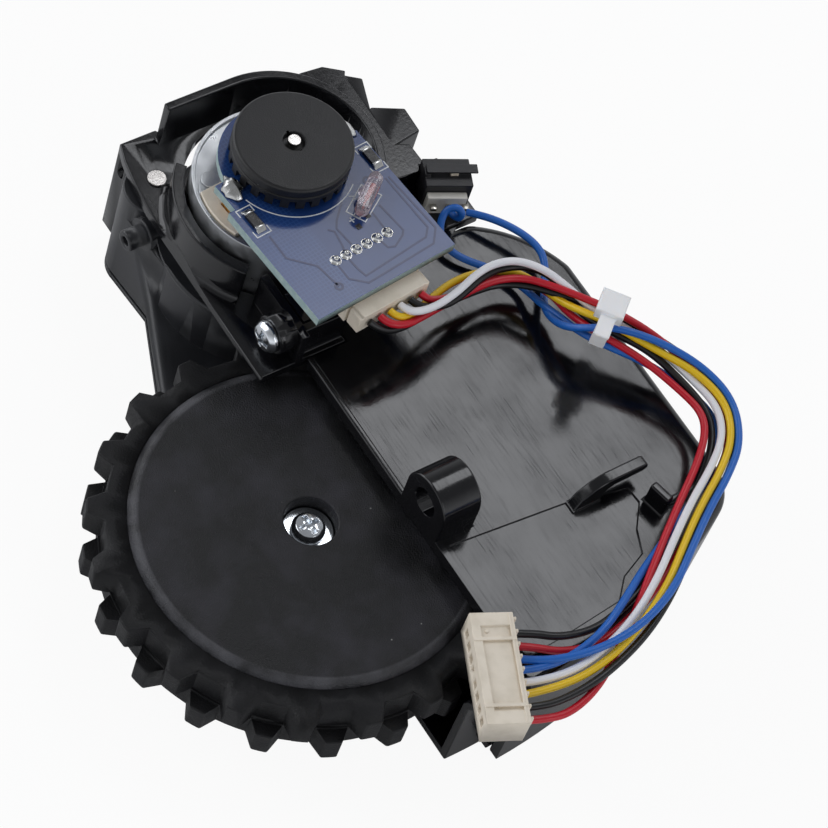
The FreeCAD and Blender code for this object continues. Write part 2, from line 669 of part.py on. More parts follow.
def make_board():
    plate = board_block(3.1, -board_right, board_bottom, board_reach, board_left, board_top)
    round_end = cyl(motor, board_disc_radius, board_bottom, board_top)
    shoulder = board_block(0.7, 0, board_bottom, 10, board_left, board_top)
    tab = board_block(-board_tab_back, -board_tab_reach, board_bottom, 4, 0, board_top)
    board = join([plate, round_end, shoulder, tab]).cut(cyl(motor, board_hole_radius, 30, 50))
    pins = []
    for i in range(board_pin_count):
        p = board_point(solder_reach, (i - (board_pin_count - 1) / 2) * pin_pitch)
        board = board.cut(cyl(p, 0.35 + seat_gap, 30, 50))
        upright = cyl(p, 0.35, header_low + 2.2, board_top + 0.6)
        level = board_block(solder_reach - 0.3, (i - 2.5) * pin_pitch - 0.3, header_low + 2.1, board_reach - 1.4, (i - 2.5) * pin_pitch + 0.3, header_low + 2.7)
        pins.append(join([upright, level]))
    for deg in (-85, 95):
        slot = block(10.35, -1.15, 30, 10.95, 1.15, 50)
        slot.rotate(V(0, 0, 0), UP, deg)
        slot.translate(motor)
        board = board.cut(slot)
    parts["encoder_board"] = board
    half = (board_pin_count - 1) * pin_pitch / 2 + 1.95
    shell = board_block(header_back, -half, header_low, board_reach - 0.6, half, board_bottom - seat_gap)
    cave = board_block(header_back + 1.2, -half + 0.8, header_low + 0.7, board_reach + 1, half - 0.8, board_bottom - 0.8)
    header = shell.cut(cave)
    for i in range(board_pin_count):
        across = (i - 2.5) * pin_pitch
        header = header.cut(board_block(header_back - 1, across - 0.4, header_low + 2.0, header_back + 2, across + 0.4, header_low + 2.8))
        header = header.cut(cyl(board_point(solder_reach, across), 0.4, header_low + 1.9, 50))
    parts["board_header"] = header
    parts["header_pins"] = Part.makeCompound(pins)
    joints = []
    for i in range(board_pin_count):
        p = board_point(solder_reach, (i - 2.5) * pin_pitch)
        cone = Part.makeCone(0.85, 0.42, 0.8, at(p, board_top + 0.005), UP)
        joints.append(cone.cut(cyl(p, 0.355, 30, 50)))
    for deg in (-85, 95):
        blob = Part.makeCone(1.5, 0.9, 0.9, ray(motor, 10.65, deg, board_top + 0.005), UP)
        slot = block(10.38, -1.12, 30, 10.92, 1.12, 50)
        slot.rotate(V(0, 0, 0), UP, deg)
        slot.translate(motor)
        joints.append(blob.cut(slot))
    parts["solder_joints"] = Part.makeCompound(joints)
    plug = board_block(header_back + 1.6, -half + 0.9, header_low + 0.8, board_plug_reach, half - 0.9, board_bottom - 0.9)
    lip = board_block(board_reach - 0.3, -half + 0.2, header_low + 0.3, board_plug_reach, half - 0.2, board_bottom - 1.2)
    plug = join([plug, lip])
    for i in range(board_pin_count):
        across = (i - 2.5) * pin_pitch
        plug = plug.cut(board_block(header_back + 1, across - 0.4, header_low + 2.0, board_reach - 0.6, across + 0.4, header_low + 2.8))
    parts["board_plug"] = plug
    chips = []
    for along, across in chip_places:
        chips.append(board_block(along - 1.6, across - 0.8, board_top + 0.01, along + 1.6, across + 0.8, board_top + 0.65))
    parts["chip_resistors"] = Part.makeCompound(chips)

    # light source outside the drum, looking across its slots at the receiver inside
    deg = board_turn_deg + 27
    lamp = hull_two(board_point(13.15, 3.85), lamp_radius, board_point(10.65, 8.05), lamp_radius - 0.001, board_top + 0.01, board_top + lamp_height)
    dome = Part.makeSphere(1.0, board_point(11.3, 5.6, board_top + 1.7))
    eye = block(5.6, -1.3, board_top + 0.01, 7.4, 1.3, board_top + 3.0)
    eye.rotate(V(0, 0, 0), UP, deg)
    eye.translate(motor)
    parts["encoder_lamp"] = join([lamp, dome])
    parts["encoder_receiver"] = eye

    skirt = tube(motor, drum_radius, drum_radius - drum_wall, drum_low, drum_top)
    top = cyl(motor, drum_radius, drum_top - 1.2, drum_top)
    boss = cyl(motor, 2.2, drum_low + 0.2, drum_top)
    drum = join([skirt, top, boss]).cut(cyl(motor, shaft_radius, 30, 50))
    for i in range(drum_slot_count):
        slot = block(drum_radius - drum_wall - 0.5, -0.55, drum_low - 1, drum_radius + 1, 0.55, drum_low + 1.6)
        slot.rotate(V(0, 0, 0), UP, i * 360.0 / drum_slot_count)
        slot.translate(motor)
        drum = drum.cut(slot)
    parts["encoder_drum"] = drum


# housing

def cover_outline(inset, low, high):
    # plan of the well cover, drawn in by inset from its outer face
    radius = outer_wall_radius - inset
    back = back_y - inset
    right = pivot_x + math.sqrt(radius ** 2 - (mouth_y - pivot_y) ** 2)
    corner = cover_corner - inset
    # rounded corner tangent to the arc wall and to the back edge
    reach = radius - corner
    cy = back - corner
    cx = pivot_x + math.sqrt(reach ** 2 - (cy - pivot_y) ** 2)
    turn = math.degrees(math.atan2(cy - pivot_y, cx - pivot_x))
    start_deg = math.degrees(math.asin((mouth_y - pivot_y) / radius))
    on_arc = ray(pivot, radius, turn, low)
    mid_arc = ray(pivot, radius, (turn + start_deg) / 2, low)
    corner_mid = ray(V(cx, cy, 0), corner, (turn + 90) / 2, low)
    a = V(right, mouth_y, low)
    b = V(cx, back, low)
    c = V(-19.9, back, low)
    d = V(-28.2 + inset * 0.7, 56.6 - inset * 0.8, low)
    e = V(-33.5, 50.2 - inset * 0.6, low)
    f = V(-33.5, 40.0, low)
    g = V(-22.8, 20.7, low)
    h = V(-22.8, mouth_y, low)
    edges = [
        Part.Arc(a, mid_arc, on_arc).toShape(), Part.Arc(on_arc, corner_mid, b).toShape(),
        Part.LineSegment(b, c).toShape(), Part.Arc(c, d, e).toShape(), Part.LineSegment(e, f).toShape(),
        Part.LineSegment(f, g).toShape(), Part.LineSegment(g, h).toShape(), Part.LineSegment(h, a).toShape(),
    ]
    return Part.Face(Part.Wire(edges)).extrude(V(0, 0, high - low))


def top_edges(shape, z, test):
    return [e for e in shape.Edges if all(abs(v.Z - z) < 1e-6 for v in e.Vertexes) and test(e.CenterOfMass)]


def make_cover():
    whole = cover_outline(0, 0, plate_top)
    corners = [e for e in whole.Edges if abs(e.Vertexes[0].Z - e.Vertexes[-1].Z) > 5]
    whole = whole.makeFillet(4.0, [e for e in corners if e.CenterOfMass.x < -15 and e.CenterOfMass.y > 45])
    rims = top_edges(whole, plate_top, lambda c: c.y > mouth_y + 5 and (c.x > 20 or c.y > 50))
    whole = whole.makeFillet(1.8, rims)
    room = cover_outline(wall_thick, -1, plate_under)
    mouth = block(-60, mouth_y - 1, -1, 60, mouth_y + 4, plate_under).common(cyl(pivot, outer_wall_radius - wall_thick, -1, plate_under))
    left = block(-40, 10, -1, -20, 49.5, plate_under)
    whole = whole.cut(room).cut(mouth).cut(left)
    tongue = block(bracket_end_x - 8.2, screw_wall_y + screw_wall_thick + body_gap, plate_under, bracket_end_x - 2.6, 24.0, plate_top)
    screw_block = block(bracket_end_x - 8.2, screw_wall_y + screw_wall_thick + body_gap, plate_top - 0.1, bracket_end_x - 2.6, 18.5, screw_wall_top)
    infill = prism([(-33.4, 48), (-33.4, 36), (-31.5, 30), (-31.5, 20.6), (-22.9, 20.6), (-22.9, 30)], plate_under, plate_top)
    lip = block(bracket_end_x + 0.3, mouth_y, plate_top - 0.1, 39.0, mouth_y + 1.0, plate_top + 0.5)
    lip = lip.common(cyl(pivot, outer_wall_radius - 0.3, 0, 40))
    boss = rod(V(tube_boss_x, mouth_y, tube_boss_z), V(tube_boss_x, mouth_y + tube_boss_length, tube_boss_z), tube_boss_radius)
    foot = block(tube_boss_x - tube_boss_radius, mouth_y, plate_top - 0.1, tube_boss_x + tube_boss_radius, mouth_y + tube_boss_length, tube_boss_z)
    hook = [(35.4, plate_top - 0.1), (40.2, plate_top - 0.1), (40.9, 25.4), (42.3, 26.2), (47.6, 26.4), (48.4, 27.0), (48.2, 27.9), (47.6, 28.2),
            (41.0, 28.2), (38.6, 27.5), (36.6, 26.0)]
    corners = [V(fin_x, y, z) for y, z in hook]
    fin = Part.Face(Part.makePolygon(corners + [corners[0]])).extrude(V(fin_thick, 0, 0))
    stop = prism([(20.7, 46.3), (24.3, 47.1), (24.0, 48.5), (20.4, 47.7)], plate_top - 0.1, 27.9)
    rib = block(22.4, 47.9, plate_top - 0.1, 23.6, 55.0, 24.8)
    posts = [cyl(V(x, y, 0), 2.7, liner_floor + seat_gap, plate_under + 0.1) for x, y in post_places]
    body = join([whole, tongue, screw_block, infill, lip, boss, foot, fin, stop, rib] + posts)
    body = body.cut(motor_sweep(opening_radius + bracket_band + body_gap, -1, 40))
    body = body.cut(rod(V(tube_boss_x, mouth_y - 1, tube_boss_z), V(tube_boss_x, mouth_y + tube_boss_length + 1, tube_boss_z), tube_boss_bore))
    panel = prism([(14.0, mouth_y + 2), (15.8, 35.3), (18.0, 45.4), (20.8, 45.6), (24.6, 42.4), (28.3, 40.8), (30.2, 36.1),
                   (33.3, 33.0), (34.4, 21.2), (34.7, mouth_y + 2)], plate_top - 0.3, plate_top + 0.1)
    fin_foot = block(fin_x - 0.2, 35.2, 20, fin_x + fin_thick + 0.2, 40.4, 30)
    body = body.cut(panel.cut(fin_foot))
    body = body.cut(rod(V(screw_x, 10, screw_z), V(screw_x, 18.0, screw_z), screw_radius))
    for x, y in post_places:
        body = body.cut(cyl(V(x, y, 0), screw_radius - 0.3, 0, 15))
    parts["wheel_well_cover"] = body


def make_liner():
    outer = outer_wall_radius - wall_thick - body_gap
    inner = liner_inner_radius
    wall = inner + liner_wall
    span = block(0, liner_mouth_y, -1, 60, 52.0, 30)
    ring = tube(pivot, outer, liner_floor_radius, 0, liner_floor).common(span)
    back = cover_outline(wall_thick + body_gap, 0, liner_floor).common(block(-33, 44.5, -1, 60, 70, 5))
    curl = revolve([(inner, liner_floor - 0.1), (inner, liner_top - 2.4), (inner + 0.6, liner_top - 0.9), (inner + 1.8, liner_top),
                    (outer, liner_top), (outer, liner_top - 1.3), (inner + 2.3, liner_top - 1.4), (wall, liner_top - 2.6), (wall, liner_floor - 0.1)], pivot).common(span)
    body = join([ring, back, curl])
    notch = tube(pivot, outer + 1, wall, -1, liner_top - 3.5).common(block(0, 0, -1, 60, mouth_y - 0.4, 30))
    body = body.cut(notch)
    screws = []
    for x, y in post_places:
        p = V(x, y, 0)
        body = body.cut(cyl(p, screw_radius - 0.3 + 0.2, -1, 3)).cut(cyl(p, 2.1, -1, 0.9))
        head = cyl(p, 2.0, 0.1, 0.88)
        shank = cyl(p, screw_radius - 0.32, 0.8, 9.0)
        cross = join([block(x - 1.2, y - 0.25, 0, x + 1.2, y + 0.25, 0.5), block(x - 0.25, y - 1.2, 0, x + 0.25, y + 1.2, 0.5)])
        screws.append(join([head, shank]).cut(cross))
    parts["wheel_well_liner"] = body
    parts["liner_screws"] = Part.makeCompound(screws)


def make_bracket():
    low = plate_under
    high = plate_top
    wall_radius = opening_radius + arc_wall_thick
    front = bracket_front_y
    plan = [(bracket_left_x, 7.8), (-66.0, 6.7), (-62.3, 6.0), (-56.5, front + 0.1), (-51.0, front), (bracket_end_x, front),
            (bracket_end_x, 20.4), (bracket_end_x - 2.3, 20.4), (bracket_end_x - 2.3, screw_wall_y + screw_wall_thick),
            (-32.5, screw_wall_y + screw_wall_thick), (-33, 24), (-52, 30), (motor_far.x - wall_radius, motor_far.y), (-68.6, 14.5), (bracket_left_x, 14.2)]
    plate = prism(plan, low, high)
    disc = cyl(motor_far, wall_radius, low, high)
    band = motor_sweep(opening_radius + bracket_band, low, high).common(block(-49, front, 0, -20, 60, 40))
    ear = block(-46.0, 40.0, low, -33.8, 52.6, high)
    blocks = [
        prism([(-67.0, 38.8), (-66.6, 42.9), (-64.4, 45.9), (-61.0, 43.4), (-61.6, 37.0), (-64.5, 35.0)], 14.0, 27.7),
        prism([(-63.6, 45.2), (-61.9, 47.5), (-56.0, 45.3), (-56.4, 40.2), (-60.5, 38.2)], 14.0, 27.7),
        prism([(-56.4, 45.9), (-54.0, 50.7), (-49.4, 50.5), (-48.6, 45.2), (-48.8, 40.6), (-55.5, 40.4)], 14.0, 27.7),
        prism([(-49.1, 45.1), (-47.9, 47.6), (-44.3, 47.7), (-42.7, 46.6), (-43.2, 39.6), (-48.9, 40.4)], 14.0, 27.7),
    ]
    keep = prism([(motor_far.x, motor_far.y), (motor_far.x + 40, motor_far.y + 47), (motor_far.x, motor_far.y + 80),
                  (motor_far.x - 80, motor_far.y + 60), (motor_far.x - 80, motor_far.y)], 0, 60)
    arc_wall = tube(motor_far, wall_radius, opening_radius, high - 0.1, arc_wall_top).common(keep)
    left = motor_far.x - wall_radius
    side_wall = block(left, 13.4, high - 0.1, left + arc_wall_thick, motor_far.y + 0.1, arc_wall_top)
    collar_outer = opening_radius + collar_wall
    collar = revolve([(opening_radius, high - 0.1), (collar_outer + 1.2, high - 0.1), (collar_outer + 0.4, high + 0.5),
                      (collar_outer, high + 1.4), (collar_outer, collar_top), (opening_radius, collar_top)], motor)
    wedge = [ray(motor, 0.1, 0), ray(motor, 40, -136), ray(motor, 40, -92), ray(motor, 40, -50)]
    collar = collar.common(prism([(p.x, p.y) for p in wedge], 0, 60)).common(block(-80, front, 0, 0, 60, 60))
    screw_wall = block(-35.5, screw_wall_y, high - 0.1, bracket_end_x, screw_wall_y + screw_wall_thick, screw_wall_top)
    side = block(bracket_end_x - 2.3, screw_wall_y, high - 0.1, bracket_end_x - 1.0, 20.4, screw_wall_top)
    boss = rod(V(screw_x, screw_wall_y - screw_boss_reach, screw_z), V(screw_x, screw_wall_y + 0.1, screw_z), screw_boss_radius)
    skirt = block(bracket_left_x, 7.8, 3.0, bracket_left_x + 1.5, 13.4, low + 0.1)
    face = block(bracket_left_x, 7.8, 3.0, bracket_left_x + 3.0, 9.2, low + 0.1)
    skirt_inner = case_motor_radius + 1.1
    skirt_outer = skirt_inner + back_skirt_wall
    back_wedge = [(motor_far.x, motor_far.y), (motor_far.x - 10, motor_far.y + 40), (bracket_left_x + 1.4, motor_far.y + 40), (bracket_left_x + 1.4, motor_far.y + 5)]
    drop = tube(motor_far, skirt_outer, skirt_inner, 3.0, low + 0.5)
    ledge = tube(motor_far, skirt_outer, opening_radius + 0.7, low, high)
    back_skirt = join([drop, ledge]).common(prism(back_wedge, 0, 60))
    body = join([plate, disc, band, ear, arc_wall, side_wall, collar, screw_wall, side, boss, skirt, face, back_skirt] + blocks)
    body = body.cut(motor_sweep(case_motor_radius + 0.9, 0, cup_top + 0.5))
    half_x = switch_length / 2 + seat_gap
    half_y = switch_width / 2 + seat_gap
    body = body.cut(switch_block(-half_x, -half_y, high, half_x, half_y, arc_wall_top))
    body = body.cut(motor_sweep(opening_radius, 0, high + 0.001))
    body = body.cut(cyl(motor_far, opening_radius, 0, 60))
    body = body.cut(cyl(pivot, pin_radius + seat_gap, 0, 40))
    body = body.cut(rod(V(screw_x, 0, screw_z), V(screw_x, 14, screw_z), screw_radius + 0.15))
    slot_x = bracket_left_x + 1.6
    slot = join([block(slot_x - 0.8, 7, 17.6, slot_x + 0.8, 10, 20.4), rod(V(slot_x, 7, 17.6), V(slot_x, 10, 17.6), 0.8), rod(V(slot_x, 7, 20.4), V(slot_x, 10, 20.4), 0.8)])
    parts["motor_bracket"] = body.cut(slot)
    parts["mounting_screw"] = pan_screw(V(screw_x, screw_wall_y - screw_boss_reach - seat_gap, screw_z), V(0, -1, 0), screw_head_radius, 1.7, 9.5)


def switch_block(x0, y0, z0, x1, y1, z1):
    shape = block(x0, y0, z0, x1, y1, z1)
    shape.rotate(V(0, 0, 0), UP, switch_turn_deg)
    shape.translate(V(switch_x, switch_y, 0))
    return shape


def make_switch():
    low = plate_top + seat_gap
    half_x = switch_length / 2
    half_y = switch_width / 2
    top = low + switch_height
    body = switch_block(-half_x, -half_y, low, half_x, half_y, top)
    half_plunger = plunger_side / 2
    half_hole = half_plunger + 2 * run_gap
    centre = switch_block(plunger_along - half_plunger, -half_plunger, low + plunger_low,
                          plunger_along + half_plunger, half_plunger, top + plunger_rise)
    hole = switch_block(plunger_along - half_hole, -half_hole, low + plunger_low - plunger_room,
                        plunger_along + half_hole, half_hole, top + 1)
    parts["switch_plunger"] = centre
    blade_low = top + plunger_rise + lever_lift
    roll_low = blade_low - lever_roll
    lug = switch_block(-half_x, -0.9, top - 0.1, lever_along + 0.5, 0.9, roll_low - run_gap)
    parts["switch_body"] = join([body.cut(hole), lug])
    parts["switch_base"] = switch_block(-3.4, -half_y - 1.3, low, 3.0, -half_y - seat_gap, low + 4.0)
    pins = [switch_block(x - 0.5, -half_y - 2.3, low + 2.0, x + 0.5, -half_y - 1.3, low + 2.6) for x in switch_pins]
    parts["switch_terminals"] = Part.makeCompound(pins)
    blade = switch_block(lever_along - 0.2, -0.8, blade_low, 4.6, 0.8, blade_low + lever_thick)
    roll = rod(V(lever_along, -0.8, blade_low), V(lever_along, 0.8, blade_low), lever_roll)
    roll.rotate(V(0, 0, 0), UP, switch_turn_deg)
    roll.translate(V(switch_x, switch_y, 0))
    parts["switch_lever"] = join([blade, roll])


# cords: eight thin insulated wires. Each is a list of points chosen by hand

def plug_point(across, out, z):
    a = math.radians(plug_turn_deg)
    return V(plug_x + across * math.cos(a) - out * math.sin(a), plug_y + across * math.sin(a) + out * math.cos(a), z)


board_exits = [board_point(board_plug_reach + body_gap, (i - 2.5) * pin_pitch, 35.2) for i in range(6)]
plug_exits = [plug_point((i - (plug_ways - 1) / 2) * pin_pitch, plug_depth / 2 + seat_gap, 26.8) for i in range(plug_ways)]

routes = {
    "black_wire_outer": (0, [(-18.1, 20.0, 34.6), (-17.2, 22.6, 33.0), (-17.6, 26.6, 31.9), (-18.4, 30.6, 31.3), (-19.0, 35.0, 30.5),
                             (-19.2, 39.6, 29.9), (-19.0, 43.8, 29.6), (-17.3, 47.4, 29.8), (-13.9, 50.4, 30.6), (-10.2, 53.3, 31.0),
                             (-5.9, 56.2, 31.9), (0.4, 60.8, 30.8), (7.6, 65.0, 29.2), (14.7, 66.2, 28.2), (21.1, 63.1, 27.6),
                             (24.9, 58.0, 27.1), (28.3, 51.9, 26.8), (32.4, 45.7, 26.7), (36.7, 39.7, 26.6), (40.2, 33.0, 26.6),
                             (42.5, 26.3, 27.0), (43.9, 19.5, 27.2), (43.9, 13.4, 26.9), (43.0, 10.0, 26.8)], 6),
    "red_wire_outer": (1, [(-17.6, 21.8, 35.0), (-16.6, 24.6, 34.2), (-17.2, 28.0, 33.3), (-17.9, 31.4, 32.4), (-18.4, 35.2, 31.8),
                           (-18.9, 39.2, 31.4), (-18.9, 43.6, 31.2), (-17.4, 47.8, 31.2), (-13.9, 50.6, 31.9), (-9.4, 53.2, 33.0),
                           (-5.0, 56.2, 33.3), (0.9, 60.4, 31.9), (8.0, 63.9, 29.3), (14.6, 64.9, 28.0), (20.1, 62.2, 27.5),
                           (23.7, 57.3, 27.1), (27.2, 51.1, 26.8), (31.3, 45.0, 26.6), (34.7, 38.6, 26.2), (37.0, 31.8, 25.4),
                           (38.4, 24.8, 25.3), (37.2, 18.8, 26.1), (34.7, 15.0, 26.8)], 1),
    "yellow_wire": (2, [(-18.0, 23.6, 35.0), (-17.9, 26.0, 34.0), (-18.9, 29.2, 32.9), (-20.3, 32.8, 31.9), (-21.5, 36.8, 31.0),
                        (-21.8, 40.8, 30.4), (-21.3, 44.8, 29.7), (-19.8, 48.6, 29.1), (-16.2, 50.8, 28.9), (-12.2, 50.9, 30.2),
                        (-8.2, 51.9, 32.0), (-4.0, 54.1, 33.2), (2.2, 58.3, 32.0), (8.4, 63.2, 30.5), (14.6, 64.9, 29.4),
                        (20.1, 62.2, 28.9), (23.8, 57.3, 28.5), (27.2, 51.1, 28.2), (31.3, 45.0, 28.1), (35.6, 39.1, 28.0),
                        (39.0, 32.4, 27.8), (41.4, 25.5, 27.5), (42.3, 18.8, 27.1), (41.4, 12.6, 26.8)], 5),
    "white_wire": (3, [(-17.9, 25.5, 35.4), (-17.0, 28.2, 35.3), (-17.3, 31.8, 34.9), (-18.4, 35.8, 34.3), (-19.9, 39.8, 33.7),
                       (-20.6, 43.8, 33.2), (-19.6, 47.8, 33.0), (-16.2, 50.8, 32.9), (-12.2, 52.6, 32.2), (-8.0, 53.8, 31.9),
                       (-4.7, 55.4, 31.9), (1.3, 59.8, 30.7), (8.6, 62.5, 29.3), (14.4, 63.4, 29.2), (19.1, 61.1, 28.9),
                       (22.5, 56.5, 28.6), (25.9, 50.3, 28.4), (30.0, 44.0, 28.4), (34.2, 38.0, 28.2), (37.7, 31.7, 27.9),
                       (39.9, 25.2, 27.7), (40.9, 18.6, 27.2), (39.8, 12.8, 26.8)], 4),
    "black_wire_inner": (4, [(-18.5, 27.6, 34.9), (-17.6, 30.2, 33.9), (-17.5, 33.6, 33.0), (-18.5, 37.4, 32.5), (-19.9, 41.4, 32.0),
                             (-20.3, 45.4, 31.4), (-18.9, 49.4, 31.3), (-15.6, 52.2, 31.2), (-11.2, 52.6, 30.1), (-7.2, 53.0, 30.6),
                             (-3.4, 54.2, 31.6), (2.1, 58.7, 30.6), (9.4, 61.2, 29.0), (14.3, 61.9, 28.3), (18.3, 60.2, 27.6),
                             (22.0, 56.2, 27.2), (25.9, 50.3, 26.9), (30.2, 44.1, 26.8), (33.3, 37.6, 26.6), (35.4, 31.2, 26.2),
                             (36.5, 25.2, 26.4), (35.2, 19.6, 26.6), (32.8, 16.2, 26.8)], 0),
    "red_wire_inner": (5, [(-18.8, 29.8, 34.7), (-18.8, 32.2, 33.2), (-19.2, 35.4, 31.2), (-20.2, 39.2, 30.0), (-20.8, 43.2, 29.4),
                           (-20.5, 47.2, 28.1), (-18.2, 50.4, 27.4), (-14.2, 52.2, 27.8), (-10.0, 51.9, 28.9), (-6.2, 51.8, 30.8),
                           (-2.4, 53.1, 31.7), (3.2, 57.0, 30.4), (9.9, 59.9, 29.0), (14.0, 60.6, 28.9), (17.2, 59.1, 28.9),
                           (20.7, 55.3, 28.4), (24.7, 49.3, 27.9), (28.9, 43.2, 27.9), (33.3, 37.2, 27.6), (37.2, 31.9, 26.6),
                           (41.0, 26.2, 25.8), (44.4, 20.4, 25.9), (46.0, 14.2, 26.4), (45.2, 10.0, 26.8)], 7),
}
switch_routes = {
    "blue_wire_outer": ((-33.9, 49.6, 26.0), [(-32.0, 51.2, 26.6), (-29.2, 53.2, 27.0), (-26.2, 54.9, 27.0), (-23.4, 55.8, 26.9),
                                             (-20.8, 55.6, 26.6),
                                             (-17.6, 53.6, 25.9), (-14.6, 51.2, 25.9), (-11.4, 49.6, 27.4), (-7.8, 49.4, 29.6), (-5.0, 51.0, 32.1),
                                             (-2.8, 53.9, 33.7), (1.8, 59.0, 33.2), (7.9, 64.4, 30.9), (14.7, 66.2, 29.5), (21.1, 63.1, 28.9),
                                             (24.9, 58.0, 28.5), (28.3, 51.9, 28.2), (32.4, 45.7, 28.1), (36.6, 39.6, 28.4), (39.5, 32.4, 29.1),
                                             (40.4, 25.4, 29.0), (39.4, 18.8, 28.4), (36.9, 13.8, 27.2)], 2),
    "blue_wire_inner": ((-35.0, 47.2, 26.0), [(-33.4, 47.3, 26.1), (-32.9, 47.8, 27.6), (-34.0, 47.3, 28.7), (-34.8, 45.8, 27.9),
                                             (-33.9, 44.4, 26.7), (-32.2, 43.4, 25.8), (-29.6, 43.2, 25.4), (-26.8, 44.8, 25.2),
                                             (-24.2, 47.4, 25.0), (-21.2, 49.4, 25.0), (-18.2, 50.3, 25.4), (-14.4, 50.0, 27.0), (-10.4, 50.8, 28.0),
                                             (-6.2, 51.0, 29.6), (-1.8, 52.8, 30.6), (3.2, 57.6, 29.5), (8.9, 61.4, 27.8), (14.4, 63.4, 26.8),
                                             (19.1, 61.3, 26.2), (22.6, 56.6, 25.8), (25.9, 50.2, 25.6), (28.8, 43.8, 26.0),
                                             (31.6, 37.6, 26.9), (34.9, 31.4, 27.8), (37.8, 25.4, 28.1), (38.9, 19.4, 27.4), (38.1, 13.8, 26.8)], 3),
}


def cord(name, points):
    # straight runs joined by tangent arcs
    edges = []
    radii = []
    start = points[0]
    for i in range(1, len(points) - 1):
        before = points[i].sub(points[i - 1])
        after = points[i + 1].sub(points[i])
        turn = before.getAngle(after)
        radius = 0.45 * min(before.Length, after.Length) / math.tan(turn / 2)
        back = 0.45 * min(before.Length, after.Length)
        one = before.normalize()
        two = after.normalize()
        enter = points[i].sub(V(one).multiply(back))
        leave = points[i].add(V(two).multiply(back))
        inward = V(two).sub(one).normalize()
        rise = radius / math.cos(turn / 2) - radius
        middle = points[i].add(V(inward).multiply(rise))
        edges.append(Part.LineSegment(start, enter).toShape())
        edges.append(Part.Arc(enter, middle, leave).toShape())
        radii.append(round(radius, 1))
        start = leave
    edges.append(Part.LineSegment(start, points[-1]).toShape())
    path = Part.Wire(edges)
    way = points[1].sub(points[0])
    ring = Part.Wire(Part.makeCircle(wire_radius, points[0], way))
    solid = path.makePipeShell([ring], True, False)
    expected = math.pi * wire_radius ** 2 * path.Length
    print(name, "length", round(path.Length, 1), "volume/expected", round(solid.Volume / expected, 4), "least radius", min(radii), radii)
    parts[name] = solid


def make_cords():
    for name, (pin, middle, way) in routes.items():
        cord(name, [board_exits[pin]] + [V(*p) for p in middle] + [plug_exits[way]])
    for name, (start, middle, way) in switch_routes.items():
        cord(name, [V(*start)] + [V(*p) for p in middle] + [plug_exits[way]])

    def plug_block(x0, y0, z0, x1, y1, z1):
        shape = block(x0, y0, z0, x1, y1, z1)
        shape.rotate(V(0, 0, 0), UP, plug_turn_deg)
        shape.translate(V(plug_x, plug_y, 0))
        return shape

    half = (plug_ways - 1) * pin_pitch / 2 + 1.95
    deep = plug_depth / 2
    body = plug_block(-half, -deep, plug_low, half, deep, plug_low + plug_height)
    panel = plug_block(-half + 2.2, -deep + 1.4, plug_low + plug_height - 0.4, half - 2.2, deep - 0.5, plug_low + plug_height + 1)
    body = body.cut(panel)
    cavities = []
    contacts = []
    for i in range(plug_ways):
        x = (i - (plug_ways - 1) / 2) * pin_pitch
        cavities.append(plug_block(x - 0.65, -deep - 1, plug_low + 1.6, x + 0.65, deep - 1.2, plug_low + 3.4))
        contacts.append(plug_block(x - 0.6, -deep + 1.2, plug_low + 1.7, x + 0.6, deep - 1.25, plug_low + 2.1))
    parts["harness_plug"] = body.cut(join(cavities))
    parts["harness_contacts"] = Part.makeCompound(contacts)

    def tie_block(x0, y0, z0, x1, y1, z1):
        shape = block(x0, y0, z0, x1, y1, z1)
        shape.rotate(V(0, 0, 0), UP, tie_turn_deg)
        shape.translate(V(tie_x, tie_y, tie_z))
        return shape

    loop = tie_block(-1.2, -3.5, -2.0, 1.2, 3.5, 3.2).cut(tie_block(-2, -2.95, -1.45, 2, 2.95, 2.7))
    lock = tie_block(-2.2, -2.2, 3.1, 2.2, 2.4, 5.2)
    tail = tie_block(-1.2, -6.2, 3.9, 1.2, -2.1, 4.5)
    parts["cable_tie"] = join([loop, lock, tail])

make_gears()
make_wheel()
make_case()
make_motor()
make_board()
make_cover()
make_liner()
make_bracket()
make_switch()
make_cords()
if __name__ == "__main__":
    os.makedirs("parts", exist_ok=True)
    for name, shape in parts.items():
        shape.exportStep("parts/" + name + ".step")
        print(name, shape.isValid(), len(shape.Solids), round(shape.Volume, 2))
    print("idlers", idler_one, idler_two, idler_three)
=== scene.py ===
import json
import math

import bmesh
import bpy
from mathutils import Matrix, Vector, noise
from mathutils.geometry import intersect_point_line


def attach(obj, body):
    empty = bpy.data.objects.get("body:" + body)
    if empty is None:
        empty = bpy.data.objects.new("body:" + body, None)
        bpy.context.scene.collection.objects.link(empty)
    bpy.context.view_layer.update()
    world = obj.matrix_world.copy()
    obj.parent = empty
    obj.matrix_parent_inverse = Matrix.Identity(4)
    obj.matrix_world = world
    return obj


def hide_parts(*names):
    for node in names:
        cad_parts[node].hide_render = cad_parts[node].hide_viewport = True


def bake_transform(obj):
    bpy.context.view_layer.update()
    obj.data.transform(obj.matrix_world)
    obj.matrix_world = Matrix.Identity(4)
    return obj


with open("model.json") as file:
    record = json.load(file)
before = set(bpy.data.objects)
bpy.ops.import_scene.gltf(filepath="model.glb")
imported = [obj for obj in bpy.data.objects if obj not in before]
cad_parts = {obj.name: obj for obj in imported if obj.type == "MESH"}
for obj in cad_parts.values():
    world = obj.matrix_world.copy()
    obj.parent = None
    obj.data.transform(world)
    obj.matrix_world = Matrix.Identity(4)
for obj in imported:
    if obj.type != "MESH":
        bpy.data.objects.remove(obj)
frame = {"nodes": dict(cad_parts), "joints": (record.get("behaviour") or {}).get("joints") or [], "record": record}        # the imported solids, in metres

scene = bpy.context.scene
nodes = frame["nodes"]
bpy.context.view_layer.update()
mm = 0.001
